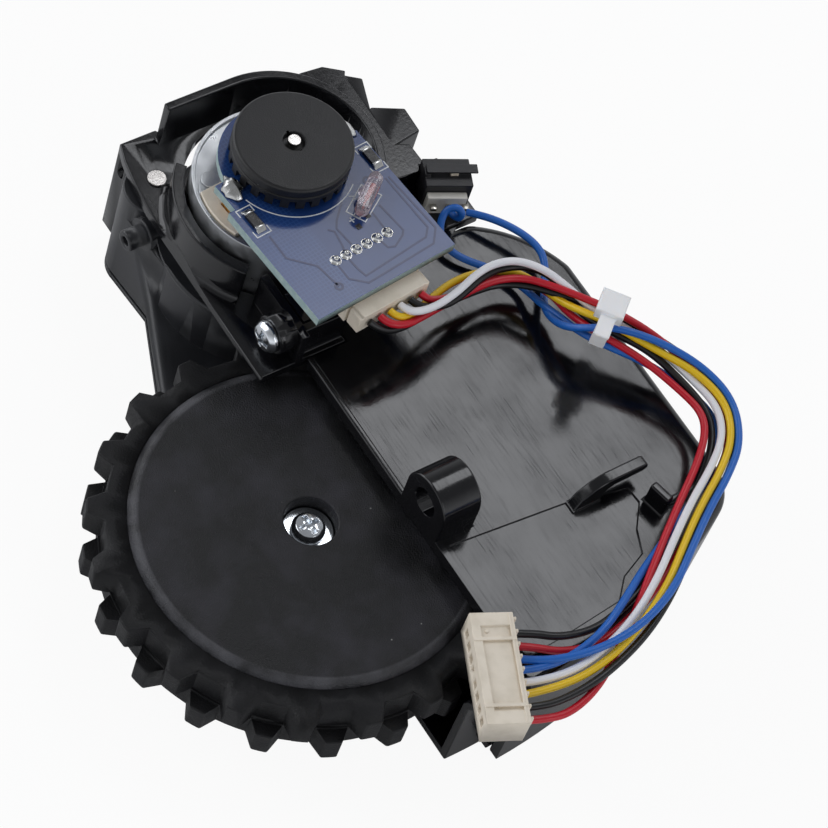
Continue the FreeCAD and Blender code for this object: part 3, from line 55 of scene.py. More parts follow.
axes = {joint["name"]: Vector(joint["pos_m"]) for joint in frame["joints"] if joint["type"] == "hinge"}
motorAxis = axes["motor_spin"]
wheelAxis = axes["wheel_spin"]
motorFoot = Vector((motorAxis.x, motorAxis.y, 0))
print("frame:", len(nodes), "nodes")


# The view: the lens stands above the mouth of the well, over the plug's side

cameraView = {
    "place": (172.2, -204.7, 447.2),     # mm
    "right": (0.538, 0.816, 0.210),
    "back": (0.350, -0.443, 0.825),
    "focalPixels": 3418.5,
    "framePixels": 828,
    "sensorMm": 36.0,
}


def makeCamera(view):
    data = bpy.data.cameras.new("camera")
    data.sensor_width = view["sensorMm"]
    data.lens = view["focalPixels"] / view["framePixels"] * view["sensorMm"]
    data.clip_start = 0.01
    data.clip_end = 20.0
    camera = bpy.data.objects.new("camera", data)
    scene.collection.objects.link(camera)
    back = Vector(view["back"]).normalized()
    up = back.cross(Vector(view["right"])).normalized()
    right = up.cross(back)
    turn = Matrix((right, up, back)).transposed().to_4x4()
    turn.translation = Vector(view["place"]) * mm
    camera.matrix_world = turn
    scene.camera = camera


makeCamera(cameraView)


# Materials

boardTurn = math.radians(5.5)       # the board's heading round the motor
# noise bands for gloss, worn patches, drag marks, and the patches of the hub's painted highlight ring
noiseBands = {"gloss": (0.3, 0.7), "worn": (0.45, 0.75), "paintedHighlight": (0.38, 0.62), "drag": (0.5, 0.72)}


def linear(hexCode):
    channels = [int(hexCode[i:i + 2], 16) / 255 for i in (1, 3, 5)]
    return tuple(c / 12.92 if c <= 0.04045 else ((c + 0.055) / 1.055) ** 2.4 for c in channels) + (1.0,)


def addNode(tree, kind, inputs=None, **settings):
    node = tree.nodes.new(kind)
    for name, value in settings.items():
        setattr(node, name, value)
    for name, value in (inputs or {}).items():
        if isinstance(value, bpy.types.NodeSocket):
            tree.links.new(value, node.inputs[name])
        else:
            node.inputs[name].default_value = value
    return node


def noiseOf(tree, place, sizeMm, detail):
    return addNode(tree, "ShaderNodeTexNoise", {
        "Vector": place, "Scale": 1 / (sizeMm * mm), "Detail": detail}).outputs["Fac"]


def ranged(tree, value, band, start, finish):
    return addNode(tree, "ShaderNodeMapRange", {
        "Value": value, "From Min": band[0], "From Max": band[1],
        "To Min": start, "To Max": finish}).outputs["Result"]


def combined(tree, operation, one, two):
    return addNode(tree, "ShaderNodeMath", {0: one, 1: two}, operation=operation).outputs["Value"]


def mixed(tree, share, one, two):
    return addNode(tree, "ShaderNodeMix", {0: share, 6: one, 7: two}, data_type="RGBA").outputs[2]


def uneven(tree, shader, height, strength, depthMm):
    bump = addNode(tree, "ShaderNodeBump", {"Strength": strength, "Distance": depthMm * mm, "Height": height})
    tree.links.new(bump.outputs["Normal"], shader.inputs["Normal"])


def newMaterial(name, colour, roughness, **sockets):
    material = bpy.data.materials.new(name)
    material.use_nodes = True
    tree = material.node_tree
    shader = tree.nodes["Principled BSDF"]
    shader.inputs["Base Color"].default_value = linear(colour)
    shader.inputs["Roughness"].default_value = roughness
    for socket, value in sockets.items():
        shader.inputs[socket.replace("_", " ")].default_value = value
    place = addNode(tree, "ShaderNodeTexCoord").outputs["Object"]
    return material, tree, shader, place


def paintedHighlightRing(tree, place, smear, colour, look):
    # painted highlight: a pale, patchy ring round the wheel's axis on the hub's chamfer band, beside the
    # tyre's bead
    inner, outer = look["paintedHighlightMm"]
    fade = 0.3
    spot = addNode(tree, "ShaderNodeVectorMath", {0: place, 1: tuple(wheelAxis)}, operation="SUBTRACT")
    flat = addNode(tree, "ShaderNodeVectorMath", {0: spot.outputs["Vector"], 1: (1.0, 1.0, 0.0)},
                   operation="MULTIPLY")
    reach = addNode(tree, "ShaderNodeVectorMath", {0: flat.outputs["Vector"]},
                    operation="LENGTH").outputs["Value"]
    rise = ranged(tree, reach, ((inner - fade) * mm, inner * mm), 0.0, 1.0)
    fall = ranged(tree, reach, (outer * mm, (outer + fade) * mm), 1.0, 0.0)
    highlightPatches = ranged(tree, smear, noiseBands["paintedHighlight"], 0.15, 0.9)
    share = combined(tree, "MULTIPLY", combined(tree, "MULTIPLY", rise, fall), highlightPatches)
    return mixed(tree, share, colour, linear(look["paintedHighlight"]))


def dusted(tree, place, colour, look):
    # some of the cells hold a small pale speck
    cell = addNode(tree, "ShaderNodeTexVoronoi", {"Vector": place, "Scale": 1 / (look["dustMm"] * mm)})
    near = ranged(tree, cell.outputs["Distance"], (0.03, 0.07), 1.0, 0.0)
    chance = addNode(tree, "ShaderNodeSeparateColor", {"Color": cell.outputs["Color"]}).outputs["Red"]
    picked = combined(tree, "GREATER_THAN", chance, 1.0 - look["dustShare"])
    return mixed(tree, combined(tree, "MULTIPLY", near, picked), colour, linear("#9a9a98"))


def mouldedPlastic(name, look):
    # broad smears shift the gloss, mould grain breaks the highlights, and drag marks run one way
    material, tree, shader, place = newMaterial(name, look["base"], look["roughness"])
    shader.inputs["Specular IOR Level"].default_value = look.get("specular", 0.5)
    smear = noiseOf(tree, place, look["smearMm"], detail=5.0)
    roughness = ranged(tree, smear, noiseBands["gloss"],
                       look["roughness"] - look["spread"], look["roughness"] + look["spread"])
    if "dragMm" in look:
        drawn = addNode(tree, "ShaderNodeMapping", {
            "Vector": place, "Rotation": (0.0, 0.0, look["dragTurn"]),
            "Scale": (look["dragStretch"], 1.0, 1.0)})
        drag = noiseOf(tree, drawn.outputs["Vector"], look["dragMm"], detail=3.0)
        marks = ranged(tree, drag, noiseBands["drag"], 0.0, look["dragRough"])
        roughness = combined(tree, "ADD", roughness, marks)
    tree.links.new(roughness, shader.inputs["Roughness"])
    uneven(tree, shader, noiseOf(tree, place, look["grainMm"], detail=2.0), look["bump"], look["grainMm"])
    worn = ranged(tree, smear, noiseBands["worn"], 0.0, 1.0)
    colour = mixed(tree, worn, linear(look["base"]), linear(look["worn"]))
    # the hub's chamfer band gets a ring of painted highlight
    if "paintedHighlightMm" in look:
        colour = paintedHighlightRing(tree, place, smear, colour, look)
    if "dustMm" in look:
        colour = dusted(tree, place, colour, look)
    tree.links.new(colour, shader.inputs["Base Color"])
    return material


def platedMetal(name, look):
    # plating keeps the drawn or turned surface under it: an uneven gloss, faint stains and fine grit
    material, tree, shader, place = newMaterial(name, look["base"], look["roughness"], Metallic=1.0)
    stain = noiseOf(tree, place, look["stainMm"], detail=6.0)
    gloss = ranged(tree, stain, noiseBands["gloss"], look["roughness"] * 0.7, look["roughness"] * 1.3)
    tree.links.new(gloss, shader.inputs["Roughness"])
    colour = mixed(tree, stain, linear(look["base"]), linear(look["stain"]))
    tree.links.new(colour, shader.inputs["Base Color"])
    uneven(tree, shader, noiseOf(tree, place, look["gritMm"], detail=3.0), look["bump"], look["gritMm"])
    return material


def wireSheath(name, colour):
    # extruded soft PVC: even colour, half gloss, with slight swells along the wire
    material, tree, shader, place = newMaterial(
        name, colour, 0.34, Subsurface_Weight=0.08, Subsurface_Radius=(0.4 * mm, 0.3 * mm, 0.3 * mm))
    swell = noiseOf(tree, place, sizeMm=1.4, detail=3.0)
    tree.links.new(ranged(tree, swell, (0.0, 1.0), 0.24, 0.46), shader.inputs["Roughness"])
    uneven(tree, shader, swell, strength=0.12, depthMm=0.1)
    return material


def solderMask(name, look):
    # glossy blue lacquer over copper: the hatched fill below it shows as a faint grid
    material, tree, shader, place = newMaterial(name, look["base"], look["roughness"])
    onBoard = addNode(tree, "ShaderNodeMapping", {
        "Vector": place, "Location": tuple(motorAxis),
        "Rotation": (0.0, 0.0, boardTurn)}, vector_type="TEXTURE").outputs["Vector"]
    parts = addNode(tree, "ShaderNodeSeparateXYZ", {"Vector": onBoard}).outputs
    lines = []
    for axisName in ("X", "Y"):
        ridge = combined(tree, "PINGPONG", parts[axisName], look["gridMm"] / 2 * mm)
        lines.append(ranged(tree, ridge, (0.0, look["lineMm"] * mm), 1.0, 0.0))
    edge = look["gridEdge"]
    band = ranged(tree, parts["Y"], (edge * mm, (edge - 1) * mm), 0.0, look["gridShow"])
    share = combined(tree, "MULTIPLY", combined(tree, "MAXIMUM", *lines), band)
    cloud = noiseOf(tree, place, sizeMm=6.0, detail=4.0)
    base = mixed(tree, cloud, linear(look["base"]), linear(look["cloud"]))
    tree.links.new(mixed(tree, share, base, linear(look["copper"])), shader.inputs["Base Color"])
    uneven(tree, shader, noiseOf(tree, place, sizeMm=0.5, detail=2.0), strength=0.1, depthMm=0.05)
    return material


def clearPlastic(name, look):
    # light passes and scatters: cast resin is nearly clear, natural nylon is frosted
    material, tree, shader, place = newMaterial(
        name, look["base"], look["roughness"], IOR=look["ior"], Transmission_Weight=look["clear"],
        Subsurface_Weight=look["milk"], Subsurface_Radius=(1.2 * mm, 1.1 * mm, 1.0 * mm))
    uneven(tree, shader, noiseOf(tree, place, sizeMm=0.4, detail=3.0), strength=0.15, depthMm=0.1)
    return material


# Each finish is a row: its name, the slot it is for (None for a detail's own finish), then the columns

finishKinds = [
    (mouldedPlastic, ("base", "worn", "roughness", "spread", "smearMm", "grainMm", "bump"), [
        # glossy ABS from a polished mould: near black, sharp sheen, fine drag marks
        ("glossyAbs", "gloss_black_plastic", "#0b0b0e", "#131316", 0.15, 0.06, 8.0, 0.6, 0.015,
         {"dragMm": 0.14, "dragStretch": 0.03, "dragTurn": 0.35, "dragRough": 0.12}),
        # ABS from a finely eroded mould: dark grey, half sheen
        ("satinAbs", "grey_plastic", "#1e1f22", "#292a2e", 0.36, 0.06, 6.0, 0.25, 0.08),
        # ABS hub from a coarser eroded mould: matt, a grainy sheen, dust, and a ring of painted highlight on
        # its chamfer band
        ("grainedAbs", "satin_black_plastic", "#09090c", "#2b2a30", 0.47, 0.12, 6.0, 0.22, 0.7,
         {"specular": 0.45, "dustMm": 2.2, "dustShare": 0.14, "paintedHighlightMm": (25.7, 27.0), "paintedHighlight": "#4c4c50"}),
        # moulded natural rubber compound: dull, soft sheen on worn edges, some dust
        ("tyreRubber", "tyre_rubber", "#0a0a0c", "#17171a", 0.56, 0.1, 4.0, 0.3, 0.3,
         {"specular": 0.35, "dustMm": 3.5, "dustShare": 0.08}),
        # acetal drum: dense black with a fine satin face
        ("acetal", "drum_plastic", "#0f0f11", "#18181a", 0.42, 0.05, 3.5, 0.18, 0.2,
         {"dustMm": 1.6, "dustShare": 0.05}),
        # glass filled nylon switch case: dark grey, half matt
        ("switchNylon", "switch_plastic", "#1b1b1e", "#29292c", 0.4, 0.06, 2.0, 0.15, 0.15),
        # connector nylon: warm ivory, half matt, slightly uneven
        ("ivoryNylon", "ivory_nylon", "#ece1cf", "#e0d5c2", 0.42, 0.07, 2.5, 0.3, 0.08),
        # natural acetal gears: milky white, waxy
        ("whiteAcetal", "white_nylon", "#dedbd2", "#cfccc3", 0.35, 0.05, 3.0, 0.3, 0.05),
        # black epoxy of small electronic pieces
        ("chipEpoxy", "chip_ceramic", "#171516", "#242122", 0.28, 0.08, 0.8, 0.1, 0.1),
        # sintered ferrite and laminated iron
        ("ferrite", "ferrite", "#2b2b2d", "#38383a", 0.6, 0.08, 2.0, 0.2, 0.3),
        # woven glass and epoxy at the cut edge of the board
        ("boardLaminate", None, "#8fa6a6", "#a9bab4", 0.5, 0.08, 0.9, 0.12, 0.3),
        # screen printed ink
        ("printInk", None, "#e4e8ea", "#d2d8dc", 0.45, 0.05, 1.0, 0.1, 0.05),
        # the red chip inside the lamp
        ("redPhosphor", None, "#c02a24", "#e05a4a", 0.3, 0.05, 0.6, 0.1, 0.1),
    ]),
    (platedMetal, ("base", "stain", "roughness", "stainMm", "gritMm", "bump"), [
        # bright zinc plating over cold headed steel
        ("brightZinc", "zinc_steel", "#e6e9ec", "#cfd4da", 0.17, 1.2, 0.15, 0.04),
        # nickel plated deep drawn can: frosted
        ("frostedNickel", "motor_steel", "#d6d8da", "#c2c5c8", 0.36, 2.5, 0.12, 0.3),
        # ground shafts and pins, and spring wire
        ("groundSteel", "steel", "#dedad6", "#c6c2be", 0.24, 1.0, 0.1, 0.05),
        ("springSteel", "spring_steel", "#8b8d90", "#77797c", 0.3, 1.0, 0.1, 0.1),
        # reflowed solder: bright, slightly grey where the flux sat
        ("solder", "solder", "#dadbda", "#b4b3af", 0.18, 0.7, 0.25, 0.1),
        # stamped contacts, bare and tinned
        ("brass", "brass", "#c79a4b", "#a87c38", 0.28, 1.0, 0.12, 0.15),
        ("tinnedBrass", "tinned_brass", "#c8c5bd", "#b2ada2", 0.26, 0.8, 0.1, 0.1),
        # enamelled copper wire of the armature
        ("copperWinding", "copper_wire", "#b4622f", "#8f4a22", 0.3, 0.8, 0.2, 0.4),
    ]),
    (solderMask, ("base", "cloud", "copper", "roughness", "gridMm", "lineMm", "gridEdge", "gridShow"), [
        # blue lacquer on the board, and where a track lies under it
        ("boardMask", "blue_board", "#1a3468", "#21407a", "#3f66a0", 0.17, 0.62, 0.12, -4.5, 0.3),
        ("traceMask", None, "#081c50", "#0b2258", "#3f6bb0", 0.2, 0.62, 0.12, -40.0, 0.0),
    ]),
    (clearPlastic, ("base", "roughness", "ior", "clear", "milk"), [
        # the lamp's cast resin and the natural nylon of the cable tie
        ("clearEpoxy", "clear_resin", "#eadfea", 0.08, 1.5, 0.8, 0.0),
        ("frostedNylon", "clear_nylon", "#fbfcff", 0.34, 1.53, 0.04, 0.8),
    ]),
]
finishes, slotFinishes = {}, {}
for makeFinish, columns, rows in finishKinds:
    for name, slotName, *values in rows:
        more = values.pop() if isinstance(values[-1], dict) else {}
        finishes[name] = makeFinish(name, {**dict(zip(columns, values)), **more})
        if slotName:
            slotFinishes[slotName] = finishes[name]
sheaths = {
    "black_pvc": wireSheath("blackPvc", "#101012"),
    "red_pvc": wireSheath("crimsonPvc", "#c40f26"),
    "blue_pvc": wireSheath("bluePvc", "#1c66c0"),
    "white_pvc": wireSheath("whitePvc", "#ececf0"),
    "yellow_pvc": wireSheath("yellowPvc", "#ecc414"),
}
print("materials:", len(bpy.data.materials))


# Making pieces

def meshOf(holder):
    bpy.context.view_layer.update()
    return bpy.data.meshes.new_from_object(holder.evaluated_get(bpy.context.evaluated_depsgraph_get()))


def addPiece(name, mesh):
    piece = bpy.data.objects.new(name, mesh)
    scene.collection.objects.link(piece)
    return piece


def painted(piece, finish):
    piece.data.materials.clear()
    piece.data.materials.append(finish)


def smoothed(piece):
    for face in piece.data.polygons:
        face.use_smooth = True
    return piece


def dress(piece, body, slotName, *standsFor, finish=None):
    painted(piece, finishes[finish] if finish else slotFinishes[slotName])
    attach(piece, body)
    if standsFor:
        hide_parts(*standsFor)
    return piece


def settled(piece):
    # the modifiers become the mesh
    mesh = meshOf(piece)
    piece.modifiers.clear()
    piece.data = mesh
    return piece


def rounded(piece, width, segments=3, angle=34, limit="ANGLE"):
    smoothed(piece)
    bevel = piece.modifiers.new("edges", "BEVEL")
    bevel.width = width * mm
    bevel.segments = segments
    bevel.limit_method = limit
    bevel.angle_limit = math.radians(angle)
    bevel.use_clamp_overlap = False
    weight = piece.modifiers.new("normals", "WEIGHTED_NORMAL")
    weight.keep_sharp = False
    return settled(piece)


def faceShaded(piece, angle=32):
    # smooth over the curved faces, flat over the flat ones
    smoothed(piece).data.set_sharp_from_angle(angle=math.radians(angle))
    weight = piece.modifiers.new("normals", "WEIGHTED_NORMAL")
    weight.keep_sharp = True
    return settled(piece)


def edgeRoom(edge, wanted):
    # an edge beside a low step or a thin wall takes a smaller radius, so that the radii don't meet.
    # Neighbours that only continue the edge, nearly in its line, are left out
    inLine, shareOfStep = 0.85, 0.45
    along = (edge.verts[1].co - edge.verts[0].co).normalized()
    room = wanted
    for vertex in edge.verts:
        for other in vertex.link_edges:
            if other is edge or not set(other.link_faces) & set(edge.link_faces):
                continue
            way = other.other_vert(vertex).co - vertex.co
            if abs(way.normalized().dot(along)) < inLine:
                room = min(room, shareOfStep * way.length)
    return room


def crossedPlaces(mesh):
    # corners of the triangles that a face turned over by crossing itself leaves behind
    smallestArea, digits = 1e-12, 5
    mesh.calc_loop_triangles()
    places = set()
    for triangle in mesh.loop_triangles:
        faceNormal = mesh.polygons[triangle.polygon_index].normal
        if triangle.area > smallestArea and triangle.normal.dot(faceNormal) < 0:
            places.update(tuple(round(c, digits) for c in mesh.vertices[i].co) for i in triangle.vertices)
    return [Vector(place) for place in places]


def besidePlace(edge, places, reach):
    start, end = (vertex.co for vertex in edge.verts)
    for place in places:
        foot, share = intersect_point_line(place, start, end)
        foot = start.lerp(end, min(1.0, max(0.0, share)))
        if (place - foot).length < reach:
            return True
    return False


softening = {"mergeMm": 0.003, "flatDegrees": 0.5, "seamMm": 0.3, "halvings": 4, "tries": 7, "reach": 1.5}


def softCopy(name, node, width, segments=2, angle=34, seam=None):
    # a solid with its loose triangles merged to whole faces and its edges eased. Edges on the
    # seam radius stay sharp, and edges whose radii cross in a face take smaller ones
    work = bmesh.new()
    work.from_mesh(nodes[node].data)
    bmesh.ops.remove_doubles(work, verts=work.verts, dist=softening["mergeMm"] * mm)
    bmesh.ops.dissolve_limit(work, angle_limit=math.radians(softening["flatDegrees"]),
                             verts=work.verts, edges=work.edges)
    share = work.edges.layers.float.new("bevel_weight_edge")
    for edge in work.edges:
        middle = (edge.verts[0].co + edge.verts[1].co) / 2
        offSeam = math.inf if seam is None else abs(math.hypot(middle.x, middle.y) - seam * mm)
        sharp = len(edge.link_faces) == 2 and edge.calc_face_angle(0.0) > math.radians(angle)
        if sharp and offSeam >= softening["seamMm"] * mm:
            edge[share] = edgeRoom(edge, width * mm) / (width * mm)
    for attempt in range(softening["tries"]):
        mesh = bpy.data.meshes.new(name)
        work.to_mesh(mesh)
        if "custom_normal" in mesh.attributes:
            mesh.attributes.remove(mesh.attributes["custom_normal"])
        piece = rounded(addPiece(name, mesh), width, segments, angle, "WEIGHT")
        places = crossedPlaces(piece.data)
        if not places or attempt == softening["tries"] - 1:
            break
        bpy.data.objects.remove(piece)
        for edge in work.edges:
            if edge[share] > 0 and besidePlace(edge, places, softening["reach"] * width * mm):
                edge[share] *= 0.5 if attempt < softening["halvings"] else 0.0
    print("eased:", name, "tries", attempt + 1, "crossed", len(places))
    work.free()
    return piece


def boxPart(low, high):
    corners = [(x, y, z) for z in (low[2], high[2])
               for x, y in ((low[0], low[1]), (high[0], low[1]), (high[0], high[1]), (low[0], high[1]))]
    return corners, [(3, 2, 1, 0), (4, 5, 6, 7), (0, 1, 5, 4), (1, 2, 6, 5), (2, 3, 7, 6), (3, 0, 4, 7)]


def prismPart(outline, low, high):
    count = len(outline)
    corners = [(x, y, z) for z in (low, high) for x, y in outline]
    sides = [(i, (i + 1) % count, count + (i + 1) % count, count + i) for i in range(count)]
    return corners, [tuple(reversed(range(count))), tuple(range(count, 2 * count))] + sides


def lathePart(profile, steps=64, centre=(0.0, 0.0)):
    # profile points are (radius, height); a radius of 0 at both ends closes the shape on the axis
    corners = []
    rings = []
    for radius, height in profile:
        if radius == 0:
            rings.append([len(corners)] * steps)
            corners.append((centre[0], centre[1], height))
            continue
        rings.append([len(corners) + i for i in range(steps)])
        for i in range(steps):
            turn = 2 * math.pi * i / steps
            corners.append((centre[0] + radius * math.cos(turn), centre[1] + radius * math.sin(turn), height))
    pairs = list(zip(rings, rings[1:]))
    if profile[0][0] > 0:
        pairs.append((rings[-1], rings[0]))
    faces = []
    for one, two in pairs:
        for i in range(steps):
            face = [one[i], one[(i + 1) % steps], two[(i + 1) % steps], two[i]]
            faces.append(tuple(dict.fromkeys(face)))
    return corners, [face for face in faces if len(face) > 2]


def stripPart(points, width, low, high, closed=False):
    # a flat band of even width along a line of points, mitred at its corners
    left, right = [], []
    count = len(points)
    for i, point in enumerate(points):
        before = Vector(points[i - 1] if i or closed else point)
        after = Vector(points[(i + 1) % count] if i < count - 1 or closed else point)
        here = Vector(point)
        one = (here - before).normalized() if (here - before).length else (after - here).normalized()
        two = (after - here).normalized() if (after - here).length else one
        along = (one + two).normalized()
        reach = width / 2 / max(0.5, along.dot(one))
        side = Vector((-along.y, along.x)) * reach
        left.append(tuple(here + side))
        right.append(tuple(here - side))
    if not closed:
        return prismPart(right + left[::-1], low, high)
    corners = [(x, y, z) for z in (low, high) for x, y in left + right]
    faces = []
    for i in range(count):
        j = (i + 1) % count
        a, b, c, d = i, j, count + j, count + i
        up = 2 * count
        faces += [(a, b, c, d), (d + up, c + up, b + up, a + up),
                  (a, a + up, b + up, b), (c, c + up, d + up, d)]
    return corners, faces


def assemble(name, parts, place=Matrix.Identity(4)):
    # parts are in millimetres, in the frame of place; each closed shell gets its faces outwards
    corners, faces = [], []
    for partCorners, partFaces in parts:
        start = len(corners)
        corners += [place @ (Vector(corner) * mm) for corner in partCorners]
        faces += [tuple(i + start for i in face) for face in partFaces]
    mesh = bpy.data.meshes.new(name)
    mesh.from_pydata([tuple(corner) for corner in corners], [], faces)
    work = bmesh.new()
    work.from_mesh(mesh)
    bmesh.ops.recalc_face_normals(work, faces=work.faces)
    work.to_mesh(mesh)
    work.free()
    return addPiece(name, mesh)


def addDetail(name, parts, place, edge, body, slotName, *standsFor, finish=None):
    return dress(rounded(assemble(name, parts, place), edge, 2), body, slotName, *standsFor, finish=finish)


def boxesOn(level, boxes):
    return [boxPart((*low[:2], level + low[2]), (*high[:2], level + high[2])) for low, high in boxes]


def raised(profile, level):
    return [(radius, level + height) for radius, height in profile]


def turned(x, y, z, degrees):
    return Matrix.Translation(Vector((x, y, z)) * mm) @ Matrix.Rotation(math.radians(degrees), 4, "Z")


# Geometry Nodes: one template repeated along a line, or round a ring

def repeatTree(name, ring):
    tree = bpy.data.node_groups.new(name, "GeometryNodeTree")
    wanted = [("Template", "NodeSocketObject"), ("Count", "NodeSocketInt"), ("Start", "NodeSocketVector"),
              ("Finish", "NodeSocketMaterial")]
    wanted.append(("Radius", "NodeSocketFloat") if ring else ("Step", "NodeSocketVector"))
    tree.interface.new_socket(name="Geometry", in_out="OUTPUT", socket_type="NodeSocketGeometry")
    for label, kind in wanted:
        tree.interface.new_socket(name=label, in_out="INPUT", socket_type=kind)
    given = addNode(tree, "NodeGroupInput").outputs
    template = addNode(tree, "GeometryNodeObjectInfo", {"Object": given["Template"]})
    if ring:
        points = addNode(tree, "GeometryNodeMeshCircle",
                         {"Vertices": given["Count"], "Radius": given["Radius"]})
        place = addNode(tree, "GeometryNodeInputPosition")
        facing = addNode(tree, "FunctionNodeAlignRotationToVector", {"Vector": place.outputs["Position"]},
                         axis="X")
        shifted = addNode(tree, "GeometryNodeInstanceOnPoints", {
            "Points": points.outputs["Mesh"], "Instance": template.outputs["Geometry"],
            "Rotation": facing.outputs["Rotation"]})
        moved = addNode(tree, "GeometryNodeTransform",
                        {"Geometry": shifted.outputs["Instances"], "Translation": given["Start"]})
    else:
        points = addNode(tree, "GeometryNodeMeshLine", {
            "Count": given["Count"], "Start Location": given["Start"], "Offset": given["Step"]})
        moved = addNode(tree, "GeometryNodeInstanceOnPoints",
                        {"Points": points.outputs["Mesh"], "Instance": template.outputs["Geometry"]})
    single = addNode(tree, "GeometryNodeRealizeInstances", {"Geometry": moved.outputs[0]})
    finished = addNode(tree, "GeometryNodeSetMaterial",
                       {"Geometry": single.outputs["Geometry"], "Material": given["Finish"]})
    addNode(tree, "NodeGroupOutput", {"Geometry": finished.outputs["Geometry"]})
    return tree


lineTree = repeatTree("repeatAlongLine", False)
ringTree = repeatTree("repeatRoundRing", True)


def repeated(name, tree, template, **values):
    # runs the tree, keeps its result as a plain mesh and removes the template
    piece = addPiece(name, bpy.data.meshes.new(name))
    modifier = piece.modifiers.new("repeat", "NODES")
    modifier.node_group = tree
    values["Template"] = template
    for item in tree.interface.items_tree:
        if item.in_out == "INPUT":
            modifier[item.identifier] = values[item.name]
    settled(piece)
    bpy.data.objects.remove(template)
    return piece
